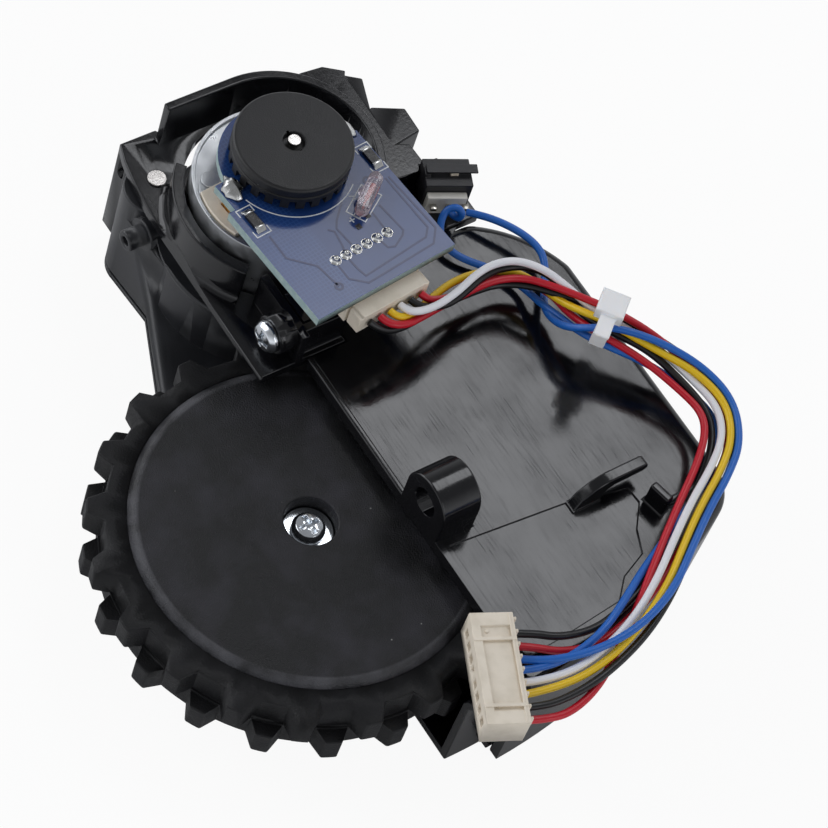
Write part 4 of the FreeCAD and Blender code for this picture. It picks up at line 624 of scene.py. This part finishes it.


# Cords: eight wires of 1.2 mm, their points in mm. The two blue ones ride with the housing; the six of the
# board stay where they are, on no body

wires = {
    "blackWireOuter": {
        "node": "black_wire_outer", "sheath": "black_pvc", "length": 0.1362, "onBoard": True,
        "points": [
            (-19.0, 19.3, 35.2), (-18.1, 20.0, 34.6), (-17.2, 22.6, 33.0), (-17.6, 26.6, 31.9),
            (-18.4, 30.6, 31.3), (-19.0, 35.0, 30.5), (-19.2, 39.6, 29.9), (-19.0, 43.8, 29.6),
            (-17.3, 47.4, 29.8), (-13.9, 50.4, 30.6), (-10.2, 53.3, 31.0), (-5.9, 56.2, 31.9),
            (0.4, 60.8, 30.8), (7.6, 65.0, 29.2), (14.7, 66.2, 28.2), (21.1, 63.1, 27.6),
            (24.9, 58.0, 27.1), (28.3, 51.9, 26.8), (32.4, 45.7, 26.7), (36.7, 39.7, 26.6),
            (40.2, 33.0, 26.6), (42.5, 26.3, 27.0), (43.9, 19.5, 27.2), (43.9, 13.4, 26.9),
            (43.0, 10.0, 26.8), (42.2, 8.1, 26.8),
        ]},
    "redWireOuter": {
        "node": "red_wire_outer", "sheath": "red_pvc", "length": 0.1277, "onBoard": True,
        "points": [
            (-19.2, 21.3, 35.2), (-17.6, 21.8, 35.0), (-16.6, 24.6, 34.2), (-17.2, 28.0, 33.3),
            (-17.9, 31.4, 32.4), (-18.4, 35.2, 31.8), (-18.9, 39.2, 31.4), (-18.9, 43.6, 31.2),
            (-17.4, 47.8, 31.2), (-13.9, 50.6, 31.9), (-9.4, 53.2, 33.0), (-5.0, 56.2, 33.3),
            (0.9, 60.4, 31.9), (8.0, 63.9, 29.3), (14.6, 64.9, 28.0), (20.1, 62.2, 27.5),
            (23.7, 57.3, 27.1), (27.2, 51.1, 26.8), (31.3, 45.0, 26.6), (34.7, 38.6, 26.2),
            (37.0, 31.8, 25.4), (38.4, 24.8, 25.3), (37.2, 18.8, 26.1), (34.7, 15.0, 26.8),
            (33.2, 12.4, 26.8),
        ]},
    "yellowWire": {
        "node": "yellow_wire", "sheath": "yellow_pvc", "length": 0.1326, "onBoard": True,
        "points": [
            (-19.4, 23.2, 35.2), (-18.0, 23.6, 35.0), (-17.9, 26.0, 34.0), (-18.9, 29.2, 32.9),
            (-20.3, 32.8, 31.9), (-21.5, 36.8, 31.0), (-21.8, 40.8, 30.4), (-21.3, 44.8, 29.7),
            (-19.8, 48.6, 29.1), (-16.2, 50.8, 28.9), (-12.2, 50.9, 30.2), (-8.2, 51.9, 32.0),
            (-4.0, 54.1, 33.2), (2.2, 58.3, 32.0), (8.4, 63.2, 30.5), (14.6, 64.9, 29.4),
            (20.1, 62.2, 28.9), (23.8, 57.3, 28.5), (27.2, 51.1, 28.2), (31.3, 45.0, 28.1),
            (35.6, 39.1, 28.0), (39.0, 32.4, 27.8), (41.4, 25.5, 27.5), (42.3, 18.8, 27.1),
            (41.4, 12.6, 26.8), (40.4, 9.0, 26.8),
        ]},
    "whiteWire": {
        "node": "white_wire", "sheath": "white_pvc", "length": 0.1252, "onBoard": True,
        "points": [
            (-19.6, 25.2, 35.2), (-17.9, 25.5, 35.4), (-17.0, 28.2, 35.3), (-17.3, 31.8, 34.9),
            (-18.4, 35.8, 34.3), (-19.9, 39.8, 33.7), (-20.6, 43.8, 33.2), (-19.6, 47.8, 33.0),
            (-16.2, 50.8, 32.9), (-12.2, 52.6, 32.2), (-8.0, 53.8, 31.9), (-4.7, 55.4, 31.9),
            (1.3, 59.8, 30.7), (8.6, 62.5, 29.3), (14.4, 63.4, 29.2), (19.1, 61.1, 28.9),
            (22.5, 56.5, 28.6), (25.9, 50.3, 28.4), (30.0, 44.0, 28.4), (34.2, 38.0, 28.2),
            (37.7, 31.7, 27.9), (39.9, 25.2, 27.7), (40.9, 18.6, 27.2), (39.8, 12.8, 26.8),
            (38.6, 9.8, 26.8),
        ]},
    "blackWireInner": {
        "node": "black_wire_inner", "sheath": "black_pvc", "length": 0.1182, "onBoard": True,
        "points": [
            (-19.8, 27.2, 35.2), (-18.5, 27.6, 34.9), (-17.6, 30.2, 33.9), (-17.5, 33.6, 33.0),
            (-18.5, 37.4, 32.5), (-19.9, 41.4, 32.0), (-20.3, 45.4, 31.4), (-18.9, 49.4, 31.3),
            (-15.6, 52.2, 31.2), (-11.2, 52.6, 30.1), (-7.2, 53.0, 30.6), (-3.4, 54.2, 31.6),
            (2.1, 58.7, 30.6), (9.4, 61.2, 29.0), (14.3, 61.9, 28.3), (18.3, 60.2, 27.6),
            (22.0, 56.2, 27.2), (25.9, 50.3, 26.9), (30.2, 44.1, 26.8), (33.3, 37.6, 26.6),
            (35.4, 31.2, 26.2), (36.5, 25.2, 26.4), (35.2, 19.6, 26.6), (32.8, 16.2, 26.8),
            (31.4, 13.2, 26.8),
        ]},
    "redWireInner": {
        "node": "red_wire_inner", "sheath": "red_pvc", "length": 0.124, "onBoard": True,
        "points": [
            (-20.0, 29.2, 35.2), (-18.8, 29.8, 34.7), (-18.8, 32.2, 33.2), (-19.2, 35.4, 31.2),
            (-20.2, 39.2, 30.0), (-20.8, 43.2, 29.4), (-20.5, 47.2, 28.1), (-18.2, 50.4, 27.4),
            (-14.2, 52.2, 27.8), (-10.0, 51.9, 28.9), (-6.2, 51.8, 30.8), (-2.4, 53.1, 31.7),
            (3.2, 57.0, 30.4), (9.9, 59.9, 29.0), (14.0, 60.6, 28.9), (17.2, 59.1, 28.9),
            (20.7, 55.3, 28.4), (24.7, 49.3, 27.9), (28.9, 43.2, 27.9), (33.3, 37.2, 27.6),
            (37.2, 31.9, 26.6), (41.0, 26.2, 25.8), (44.4, 20.4, 25.9), (46.0, 14.2, 26.4),
            (45.2, 10.0, 26.8), (44.0, 7.3, 26.8),
        ]},
    "blueWireOuter": {
        "node": "blue_wire_outer", "sheath": "blue_pvc", "length": 0.1259, "onBoard": False,
        "points": [
            (-33.9, 49.6, 26.0), (-32.0, 51.2, 26.6), (-29.2, 53.2, 27.0), (-26.2, 54.9, 27.0),
            (-23.4, 55.8, 26.9), (-20.8, 55.6, 26.6), (-17.6, 53.6, 25.9), (-14.6, 51.2, 25.9),
            (-11.4, 49.6, 27.4), (-7.8, 49.4, 29.6), (-5.0, 51.0, 32.1), (-2.8, 53.9, 33.7),
            (1.8, 59.0, 33.2), (7.9, 64.4, 30.9), (14.7, 66.2, 29.5), (21.1, 63.1, 28.9),
            (24.9, 58.0, 28.5), (28.3, 51.9, 28.2), (32.4, 45.7, 28.1), (36.6, 39.6, 28.4),
            (39.5, 32.4, 29.1), (40.4, 25.4, 29.0), (39.4, 18.8, 28.4), (36.9, 13.8, 27.2),
            (35.0, 11.5, 26.8),
        ]},
    "blueWireInner": {
        "node": "blue_wire_inner", "sheath": "blue_pvc", "length": 0.1245, "onBoard": False,
        "points": [
            (-35.0, 47.2, 26.0), (-33.4, 47.3, 26.1), (-32.9, 47.8, 27.6), (-34.0, 47.3, 28.7),
            (-34.8, 45.8, 27.9), (-33.9, 44.4, 26.7), (-32.2, 43.4, 25.8), (-29.6, 43.2, 25.4),
            (-26.8, 44.8, 25.2), (-24.2, 47.4, 25.0), (-21.2, 49.4, 25.0), (-18.2, 50.3, 25.4),
            (-14.4, 50.0, 27.0), (-10.4, 50.8, 28.0), (-6.2, 51.0, 29.6), (-1.8, 52.8, 30.6),
            (3.2, 57.6, 29.5), (8.9, 61.4, 27.8), (14.4, 63.4, 26.8), (19.1, 61.3, 26.2),
            (22.6, 56.6, 25.8), (25.9, 50.2, 25.6), (28.8, 43.8, 26.0), (31.6, 37.6, 26.9),
            (34.9, 31.4, 27.8), (37.8, 25.4, 28.1), (38.9, 19.4, 27.4), (38.1, 13.8, 26.8),
            (36.8, 10.7, 26.8),
        ]},
}
wireRadius = 0.6


def lineCurve(points):
    data = bpy.data.curves.new("line", "CURVE")
    data.dimensions = "3D"
    data.resolution_u = 8
    spline = data.splines.new("NURBS")
    spline.points.add(len(points) - 1)
    for held, point in zip(spline.points, points):
        held.co = (*(c * mm for c in point), 1.0)
    spline.order_u = 3
    spline.use_endpoint_u = True
    return data


def makeWire(name, look):
    curve = lineCurve(look["points"])
    holder = addPiece(name + "Line", curve)
    path = [tuple(vertex.co) for vertex in meshOf(holder).vertices]
    curve.bevel_depth = wireRadius * mm
    curve.bevel_resolution = 3
    curve.use_fill_caps = True
    wire = smoothed(addPiece(name, meshOf(holder)))
    bpy.data.objects.remove(holder)
    painted(wire, sheaths[look["sheath"]])
    if look["onBoard"]:
        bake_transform(wire)
    else:
        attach(wire, "housing")
    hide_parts(look["node"])
    return wire, path


wirePieces = {name: makeWire(name, look) for name, look in wires.items()}
print("wires:", len(wirePieces))


# Each solid without a finer piece below keeps its own mesh and takes the finish of its slot

slotOf = {row["node"]: row["material_slot"] for row in frame["record"]["subparts"]}
for nodeName, node in nodes.items():
    finish = slotFinishes.get(slotOf[nodeName])
    if finish is not None:
        painted(node, finish)


def easeSolid(name, node, body, width, segments, seam=None):
    return dress(softCopy(name, node, width, segments, seam=seam), body, slotOf[node], node)


# Moulded pieces with eased edges: name, solid, body, edge radius in mm, steps of the edge

tyreSeam = 27.2      # mm, where the tyre's bead meets the hub
easedPieces = [
    ("wellCover", "wheel_well_cover", "housing", 0.35, 3),
    ("wellLiner", "wheel_well_liner", "housing", 0.25, 3),
    ("motorBracket", "motor_bracket", "housing", 0.3, 3),
    ("gearCase", "gearbox_case", "arm", 0.35, 3),
    ("gearCaseCover", "gearbox_cover", "arm", 0.2, 2),
    ("rubberTyre", "tyre", "wheel", 0.3, 3),
    ("wheelHub", "wheel_hub", "wheel", 0.3, 3),
    ("motorEndPiece", "motor_end_cap", "arm", 0.15, 2),
    ("motorTabs", "motor_terminals", "arm", 0.08, 2),
    ("boardHeader", "board_header", "arm", 0.12, 2),
    ("boardPlug", "board_plug", "arm", 0.15, 2),
    ("drumEye", "encoder_receiver", "arm", 0.15, 2),
    ("switchBody", "switch_body", "housing", 0.15, 2),
    ("switchBase", "switch_base", "housing", 0.15, 2),
    ("switchTabs", "switch_terminals", "housing", 0.08, 2),
    ("switchLever", "switch_lever", "switch_lever", 0.07, 2),
    ("harnessPlug", "harness_plug", "housing", 0.16, 2),
    ("cableTie", "cable_tie", "housing", 0.5, 3),
]
eased = {row[0]: easeSolid(*row, seam=tyreSeam) for row in easedPieces}
print("eased pieces:", len(eased))


# Encoder board: lacquered faces, pale cut edges, tracks, print and chips

boardPlace = Matrix.Translation(motorFoot) @ Matrix.Rotation(boardTurn, 4, "Z")
boardTop = 39.3
boardLook = {
    "edge": 0.06, "flatFace": 0.6, "traceHigh": 0.03, "traceWide": 0.32, "inkHigh": 0.045, "inkWide": 0.17,
    "traces": [
        [(13.1, -2.6), (13.9, -1.9), (16.3, -2.4), (17.9, -2.9)],
        [(10.1, 2.5), (12.5, -0.4), (13.6, -1.3), (17.1, -1.1)],
        [(13.5, 7.1), (19.0, 7.4), (19.7, 6.7), (20.7, 4.5), (20.3, 3.4), (18.9, 3.2)],
        [(10.1, 11.6), (21.2, 12.0), (23.3, 9.9), (23.8, -3.1), (21.7, -5.3), (18.9, -5.2)],
        [(10.1, 11.0), (20.5, 11.0), (21.8, 9.6), (22.6, -2.7), (21.1, -3.0), (18.9, -3.1)],
        [(14.0, 5.3), (17.3, 5.1)],
        [(9.6, -11.0), (14.0, -11.2), (17.5, -8.0), (22.0, -7.4)],
    ],
    "open": [
        [(4.5, 10.1), (3.3, 10.1), (3.3, 12.7), (4.5, 12.7)],
        [(7.5, 10.1), (8.7, 10.1), (8.7, 12.7), (7.5, 12.7)],
        [(4.7, -12.7), (3.5, -12.7), (3.5, -10.1), (4.7, -10.1)],
        [(7.7, -12.7), (8.9, -12.7), (8.9, -10.1), (7.7, -10.1)],
        [(13.1, 1.7), (14.1, 1.7)], [(13.6, 1.2), (13.6, 2.2)], [(9.9, 4.0), (10.3, 4.6), (10.8, 4.5)],
    ],
    "closed": [
        [(11.9, 1.9), (14.9, 3.3), (12.3, 8.5), (9.2, 7.0)],
        [(13.1, 2.4), (14.0, 2.8), (10.6, 9.3), (9.7, 8.8)],
    ],
    "arcRadius": 10.35, "arcFrom": -76.0, "arcTo": 35.0, "arcSteps": 32,
    "via": (0.75, 0.35, 24), "viaSpots": [(22.0, -7.4), (9.0, 8.3)],       # radius, hole, steps
    "pads": [((14.6, 1.4, 0.0), (15.5, 2.3, 0.05)), ((13.7, 3.8, 0.0), (14.6, 4.7, 0.05))],
    "rim": (0.88, 0.4, 28), "pins": 6, "pinLine": 18.1, "pinPitch": 2.0,
}


def flatLines(lines, width, high, closed=False):
    return [stripPart(line, width, boardTop, boardTop + high, closed) for line in lines]


def flatRing(size, high, spot):
    radius, hole, steps = size
    profile = [(radius, 0.0), (radius, high), (hole, high), (hole, 0.0)]
    return lathePart(raised(profile, boardTop), steps, spot)


def makeBoard(look):
    board = easeSolid("encoderBoard", "encoder_board", "arm", look["edge"], 1)
    board.data.materials.append(finishes["boardLaminate"])
    for face in board.data.polygons:
        face.material_index = 0 if abs(face.normal.z) > look["flatFace"] else 1
    tracks = flatLines(look["traces"], look["traceWide"], look["traceHigh"])
    tracks += [flatRing(look["via"], look["traceHigh"], spot) for spot in look["viaSpots"]]
    dress(assemble("boardTracks", tracks, boardPlace), "arm", "blue_board", finish="traceMask")
    arc = []
    for i in range(look["arcSteps"] + 1):
        turn = math.radians(look["arcFrom"] + (look["arcTo"] - look["arcFrom"]) * i / look["arcSteps"])
        arc.append((look["arcRadius"] * math.cos(turn), look["arcRadius"] * math.sin(turn)))
    ink = flatLines(look["open"] + [arc], look["inkWide"], look["inkHigh"])
    ink += flatLines(look["closed"], look["inkWide"], look["inkHigh"], closed=True)
    dress(assemble("boardPrint", ink, boardPlace), "arm", "blue_board", finish="printInk")
    pads = boxesOn(boardTop, look["pads"])
    dress(assemble("boardPads", pads, boardPlace), "arm", "chip_ceramic")
    middle = (look["pins"] - 1) / 2
    rims = [flatRing(look["rim"], look["traceHigh"], (look["pinLine"], (i - middle) * look["pinPitch"]))
            for i in range(look["pins"])]
    dress(assemble("pinPads", rims, boardPlace), "arm", "solder")


makeBoard(boardLook)


# Chips: a dark body between two tinned ends, with solder drawn up from the pad against each end

chipLook = {
    "centres": [(6.2, -11.4), (6.0, 11.4)],
    "halfLong": 1.25, "halfWide": 0.78, "low": 0.02, "high": 0.66, "edge": 0.06,
    "endFrom": 1.2, "endTo": 1.62, "endHalfWide": 0.82, "endHigh": 0.7, "endEdge": 0.1,
    "filletLong": 0.62, "filletHalfWide": 0.8, "filletHigh": 0.6, "filletEdge": 0.05,
    "toe": 0.12, "lap": 0.02, "topTaper": 0.94, "footSpread": 1.08,
}


def fillet(look, edge, across, side):
    wide = look["filletHalfWide"]
    corners, faces = boxPart((0.0, -wide, 0.0), (look["filletLong"], wide, look["filletHigh"]))
    sloped = []
    for x, y, z in corners:
        height = look["toe"] if z > 0 and x > 0 else z
        spread = look["topTaper"] if z > 0 else look["footSpread"]
        sloped.append((edge + side * (x - look["lap"]), across + y * spread, boardTop + height))
    return sloped, faces


def makeChips(look):
    ends, bodies, fillets = [], [], []
    long, wide, endWide = look["halfLong"], look["halfWide"], look["endHalfWide"]
    for along, across in look["centres"]:
        bodies.append(boxPart((along - long, across - wide, boardTop + look["low"]),
                              (along + long, across + wide, boardTop + look["high"])))
        for side in (-1, 1):
            low, high = sorted((along + side * look["endFrom"], along + side * look["endTo"]))
            ends.append(boxPart((low, across - endWide, boardTop),
                                (high, across + endWide, boardTop + look["endHigh"])))
            fillets.append(fillet(look, along + side * look["endTo"], across, side))
    addDetail("chipBodies", bodies, boardPlace, look["edge"], "arm", "chip_ceramic", "chip_resistors")
    addDetail("chipEnds", ends, boardPlace, look["endEdge"], "arm", "solder")
    addDetail("chipFillets", fillets, boardPlace, look["filletEdge"], "arm", "solder")


makeChips(chipLook)


# Solder: six cones on the pins, a flatter blob on each motor tab

solderLook = {
    "cone": [(0.0, 0.0), (0.84, 0.0), (0.72, 0.08), (0.55, 0.28), (0.44, 0.6), (0.37, 0.86), (0.22, 0.98),
             (0.0, 1.02)],
    "coneSteps": 24, "coneLift": 0.02, "firstCones": (-5.0, -3.0),
    "blob": [(0.0, 0.01), (1.95, 0.01), (1.85, 0.35), (1.45, 0.8), (1.0, 1.15), (0.45, 1.35), (0.0, 1.4)],
    "blobSteps": 40, "blobReach": 10.65, "blobTurns": (-85, 95), "stretch": (1.15, 0.85),
    "lumps": (1.1, 1.1, 0.9), "lumpDepth": 0.35, "lumpRise": 0.2,
}


def makeSolder(look):
    template = smoothed(assemble("coneTemplate", [lathePart(look["cone"], look["coneSteps"])]))
    x, z = boardLook["pinLine"] * mm, (boardTop + look["coneLift"]) * mm
    first, second = (boardPlace @ Vector((x, y * mm, z)) for y in look["firstCones"])
    cones = repeated("solderCones", lineTree, template, Count=boardLook["pins"], Start=first,
                     Step=second - first, Finish=finishes["solder"])
    dress(cones, "arm", "solder", "solder_joints")
    lumpX, lumpY, lumpZ = look["lumps"]
    blobs = []
    for turn in look["blobTurns"]:
        centreX = look["blobReach"] * math.cos(math.radians(turn))
        centreY = look["blobReach"] * math.sin(math.radians(turn))
        corners, faces = lathePart(raised(look["blob"], boardTop), look["blobSteps"])
        bent = []
        for x, y, z in corners:
            lump = noise.noise(Vector((x * lumpX + turn, y * lumpY, z * lumpZ)))
            swell = 1 + look["lumpDepth"] * lump
            rise = 1 - look["lumpRise"] / 2 + look["lumpRise"] * swell
            bent.append((centreX + x * look["stretch"][0] * swell, centreY + y * look["stretch"][1] * swell,
                         boardTop + (z - boardTop) * rise))
        blobs.append((bent, faces))
    piece = assemble("tabSolder", blobs, Matrix.Translation(motorFoot))
    dress(smoothed(piece), "arm", "solder")


makeSolder(solderLook)


# Light source beside the drum: cast resin with a red chip inside

lampLook = {
    "spot": (11.9, 5.95, 0.0), "degrees": 120.8, "edge": 0.35, "coreEdge": 0.12,
    "core": [((-1.5, -0.35, 1.2), (1.7, 0.35, 1.9)), ((-2.4, -0.15, 0.4), (-1.2, 0.15, 1.5))],
}


def makeLamp(look):
    easeSolid("drumLamp", "encoder_lamp", "arm", look["edge"], 3)
    place = boardPlace @ turned(*look["spot"], look["degrees"])
    addDetail("lampCore", boxesOn(boardTop, look["core"]), place, look["coreEdge"],
              "arm", "clear_resin", finish="redPhosphor")


makeLamp(lampLook)


# Encoder drum: turned over at the top edge, slots round the skirt, a notch across the middle

drumLook = {
    "profile": [(9.3, 40.0), (9.3, 42.3), (9.12, 42.42), (9.12, 42.75), (9.3, 42.88), (9.3, 43.9),
                (9.22, 44.15), (9.02, 44.33), (8.75, 44.4), (2.0, 44.4), (1.75, 44.3), (1.65, 44.1),
                (1.6, 44.0), (1.6, 43.3), (1.0, 43.2), (1.0, 40.2), (2.2, 40.2), (2.2, 43.2), (8.2, 43.2),
                (8.2, 40.0)],
    "steps": 144, "slots": 24, "slotReach": 9.3, "slot": ((-1.6, -0.55, 39.0), (1.0, 0.55, 41.6)),
    "notchHalfLong": 2.0, "notchHalfWide": 0.22, "notchLow": 43.3, "notchHigh": 45.0,
}


def cutAway(piece, cutter):
    cut = piece.modifiers.new("cut", "BOOLEAN")
    cut.object = cutter
    cut.solver = "EXACT"
    settled(piece)
    bpy.data.objects.remove(cutter)


def makeDrum(look):
    x, y = motorAxis.x / mm, motorAxis.y / mm
    drum = assemble("encoderDrum", [lathePart(look["profile"], look["steps"], (x, y))])
    template = assemble("slotTemplate", [boxPart(*look["slot"])])
    slots = repeated("slotCutter", ringTree, template, Count=look["slots"], Start=motorFoot,
                     Radius=look["slotReach"] * mm, Finish=finishes["acetal"])
    cutAway(drum, slots)
    long, wide = look["notchHalfLong"], look["notchHalfWide"]
    notch = boxPart((x - long, y - wide, look["notchLow"]), (x + long, y + wide, look["notchHigh"]))
    cutAway(drum, assemble("notchCutter", [notch]))
    dress(faceShaded(drum), "rotor", "drum_plastic", "encoder_drum")


makeDrum(drumLook)


# Motor can: rolled rim, a pressed dimple by the tab

canLook = {
    "edge": 0.12, "dimple": [(0.0, 33.28), (1.5, 33.28), (1.5, 33.7), (1.4, 33.8), (0.0, 33.84)],
    "dimpleSteps": 40, "dimpleSpot": (-52.0, 11.9),
}


def makeCan(look):
    easeSolid("motorCan", "motor_can", "arm", look["edge"], 2)
    dimple = assemble("canDimple", [lathePart(look["dimple"], look["dimpleSteps"], look["dimpleSpot"])])
    dress(faceShaded(dimple), "arm", "motor_steel")


makeCan(canLook)


# Plug of the harness: bands, dots and latch ribs

plugPlace = turned(36.3, 7.3, 0, -25.2)
plugLook = {
    "top": 29.9,
    "bands": [((-4.9, -3.2, -0.05), (-4.35, 3.2, 0.16)), ((5.7, -3.2, -0.05), (6.25, 3.2, 0.16)),
              ((-8.6, 2.45, -0.05), (8.6, 2.8, 0.1))],
    "bandEdge": 0.05,
    "dot": [(0.0, -0.42), (0.32, -0.42), (0.3, -0.24), (0.0, -0.2)], "dotSpots": [(-6.0, -1.0), (6.0, -1.0)],
    "rib": ((-0.22, 0.0, 0.0), (0.22, 0.5, 2.0)), "ribEdge": 0.06, "ribs": 9,
    "firstRib": (-8.0, 3.2, 27.7), "nextRib": (-6.0, 3.2, 27.7),
}


def makePlugDetail(look):
    marks = boxesOn(look["top"], look["bands"])
    marks += [lathePart(raised(look["dot"], look["top"]), 20, spot) for spot in look["dotSpots"]]
    addDetail("plugMarks", marks, plugPlace, look["bandEdge"], "housing", "ivory_nylon")
    heading = plugPlace.to_3x3().to_4x4()
    rib = rounded(assemble("ribTemplate", [boxPart(*look["rib"])], heading), look["ribEdge"], 2)
    start = plugPlace @ (Vector(look["firstRib"]) * mm)
    step = plugPlace @ (Vector(look["nextRib"]) * mm) - start
    ribs = repeated("latchRibs", lineTree, rib, Count=look["ribs"], Start=start, Step=step,
                    Finish=finishes["ivoryNylon"])
    dress(ribs, "housing", "ivory_nylon")


makePlugDetail(plugLook)


# Screws, the wheel's washer, the arm's pin and the motor's shaft

turnedEdge = 0.1      # mm
turnedPieces = [
    ("mountingScrew", "mounting_screw", "housing"), ("wheelScrew", "wheel_screw", "wheel"),
    ("wheelWasher", "wheel_washer", "wheel"), ("pivotPin", "pivot_pin", "housing"),
    ("motorShaft", "motor_shaft", "rotor"),
]
for name, node, body in turnedPieces:
    easeSolid(name, node, body, turnedEdge, 2)
print("details done")


# Stage: plain pale floor, a long softbox overhead, fills from the front, the left and the right

white = (1.0, 1.0, 1.0, 1.0)
stageLook = {
    "paper": "#f4f4f4", "paperRoughness": 0.9, "paperGloss": 0.1, "paperGlow": 0.93,
    "floorReach": 1.5, "floorLevel": -0.0002,                          # m
    "skyBand": (0.05, 0.65), "skyTop": 0.3, "skyTint": (0.94, 0.96, 1.0, 1.0),
    "lampTint": (0.95, 0.965, 1.0),
    # name, size, power, place, aim; a lamp without an aim points straight down
    "lamps": [
        ("overhead", (0.61, 0.28), 2.3, (-0.245, 0.565, 1.0), None),
        ("frontFill", (0.7, 0.7), 3.4, (-0.75, -0.75, 0.8), (0.0, 0.0, 0.02)),
        ("leftLow", (1.1, 0.5), 3.2, (-1.15, -0.35, 0.3), (-0.04, 0.0, 0.01)),
        ("rightEdge", (0.3, 0.6), 0.9, (0.9, 0.2, 0.45), (0.0, 0.0, 0.02)),
    ],
}


def makeFloor(look):
    paper, tree, shader, _ = newMaterial("floorPaper", look["paper"], look["paperRoughness"])
    shader.inputs["Specular IOR Level"].default_value = look["paperGloss"]
    paths = addNode(tree, "ShaderNodeLightPath").outputs
    seen = combined(tree, "MAXIMUM", paths["Is Camera Ray"], paths["Is Transmission Ray"])
    share = combined(tree, "MULTIPLY", seen, look["paperGlow"])
    glow = addNode(tree, "ShaderNodeEmission", {"Color": white, "Strength": 1.0})
    blend = addNode(tree, "ShaderNodeMixShader",
                    {0: share, 1: shader.outputs["BSDF"], 2: glow.outputs["Emission"]})
    tree.links.new(blend.outputs["Shader"], tree.nodes["Material Output"].inputs["Surface"])
    mesh = bpy.data.meshes.new("floor")
    reach = look["floorReach"]
    corners = [(-reach, -reach, 0), (reach, -reach, 0), (reach, reach, 0), (-reach, reach, 0)]
    mesh.from_pydata(corners, [], [(0, 1, 2, 3)])
    mesh.materials.append(paper)
    floor = addPiece("floor", mesh)
    floor.location.z = look["floorLevel"]


def makeSky(look):
    # pale near the horizon and darker overhead; the camera sees plain white
    world = bpy.data.worlds.new("studio")
    scene.world = world
    world.use_nodes = True
    tree = world.node_tree
    background = tree.nodes["Background"]
    direction = addNode(tree, "ShaderNodeTexCoord").outputs["Generated"]
    height = addNode(tree, "ShaderNodeSeparateXYZ", {"Vector": direction}).outputs["Z"]
    glow = ranged(tree, height, look["skyBand"], 1.0, look["skyTop"])
    seen = addNode(tree, "ShaderNodeLightPath").outputs["Is Camera Ray"]
    strength = addNode(tree, "ShaderNodeMix", {0: seen, 2: glow, 3: 1.0}, data_type="FLOAT")
    tree.links.new(mixed(tree, seen, look["skyTint"], white), background.inputs["Color"])
    tree.links.new(strength.outputs[0], background.inputs["Strength"])


def makeLamps(look):
    for name, size, power, place, aim in look["lamps"]:
        light = bpy.data.lights.new(name, "AREA")
        light.shape = "RECTANGLE"
        light.size, light.size_y = size
        light.energy = power
        light.color = look["lampTint"]
        holder = addPiece(name, light)
        holder.location = place
        if aim:
            holder.rotation_euler = (Vector(aim) - Vector(place)).to_track_quat("-Z", "Y").to_euler()


makeFloor(stageLook)
makeSky(stageLook)
makeLamps(stageLook)
scene.render.resolution_x = scene.render.resolution_y = cameraView["framePixels"]
scene.view_settings.view_transform = "Standard"
print("stage done")
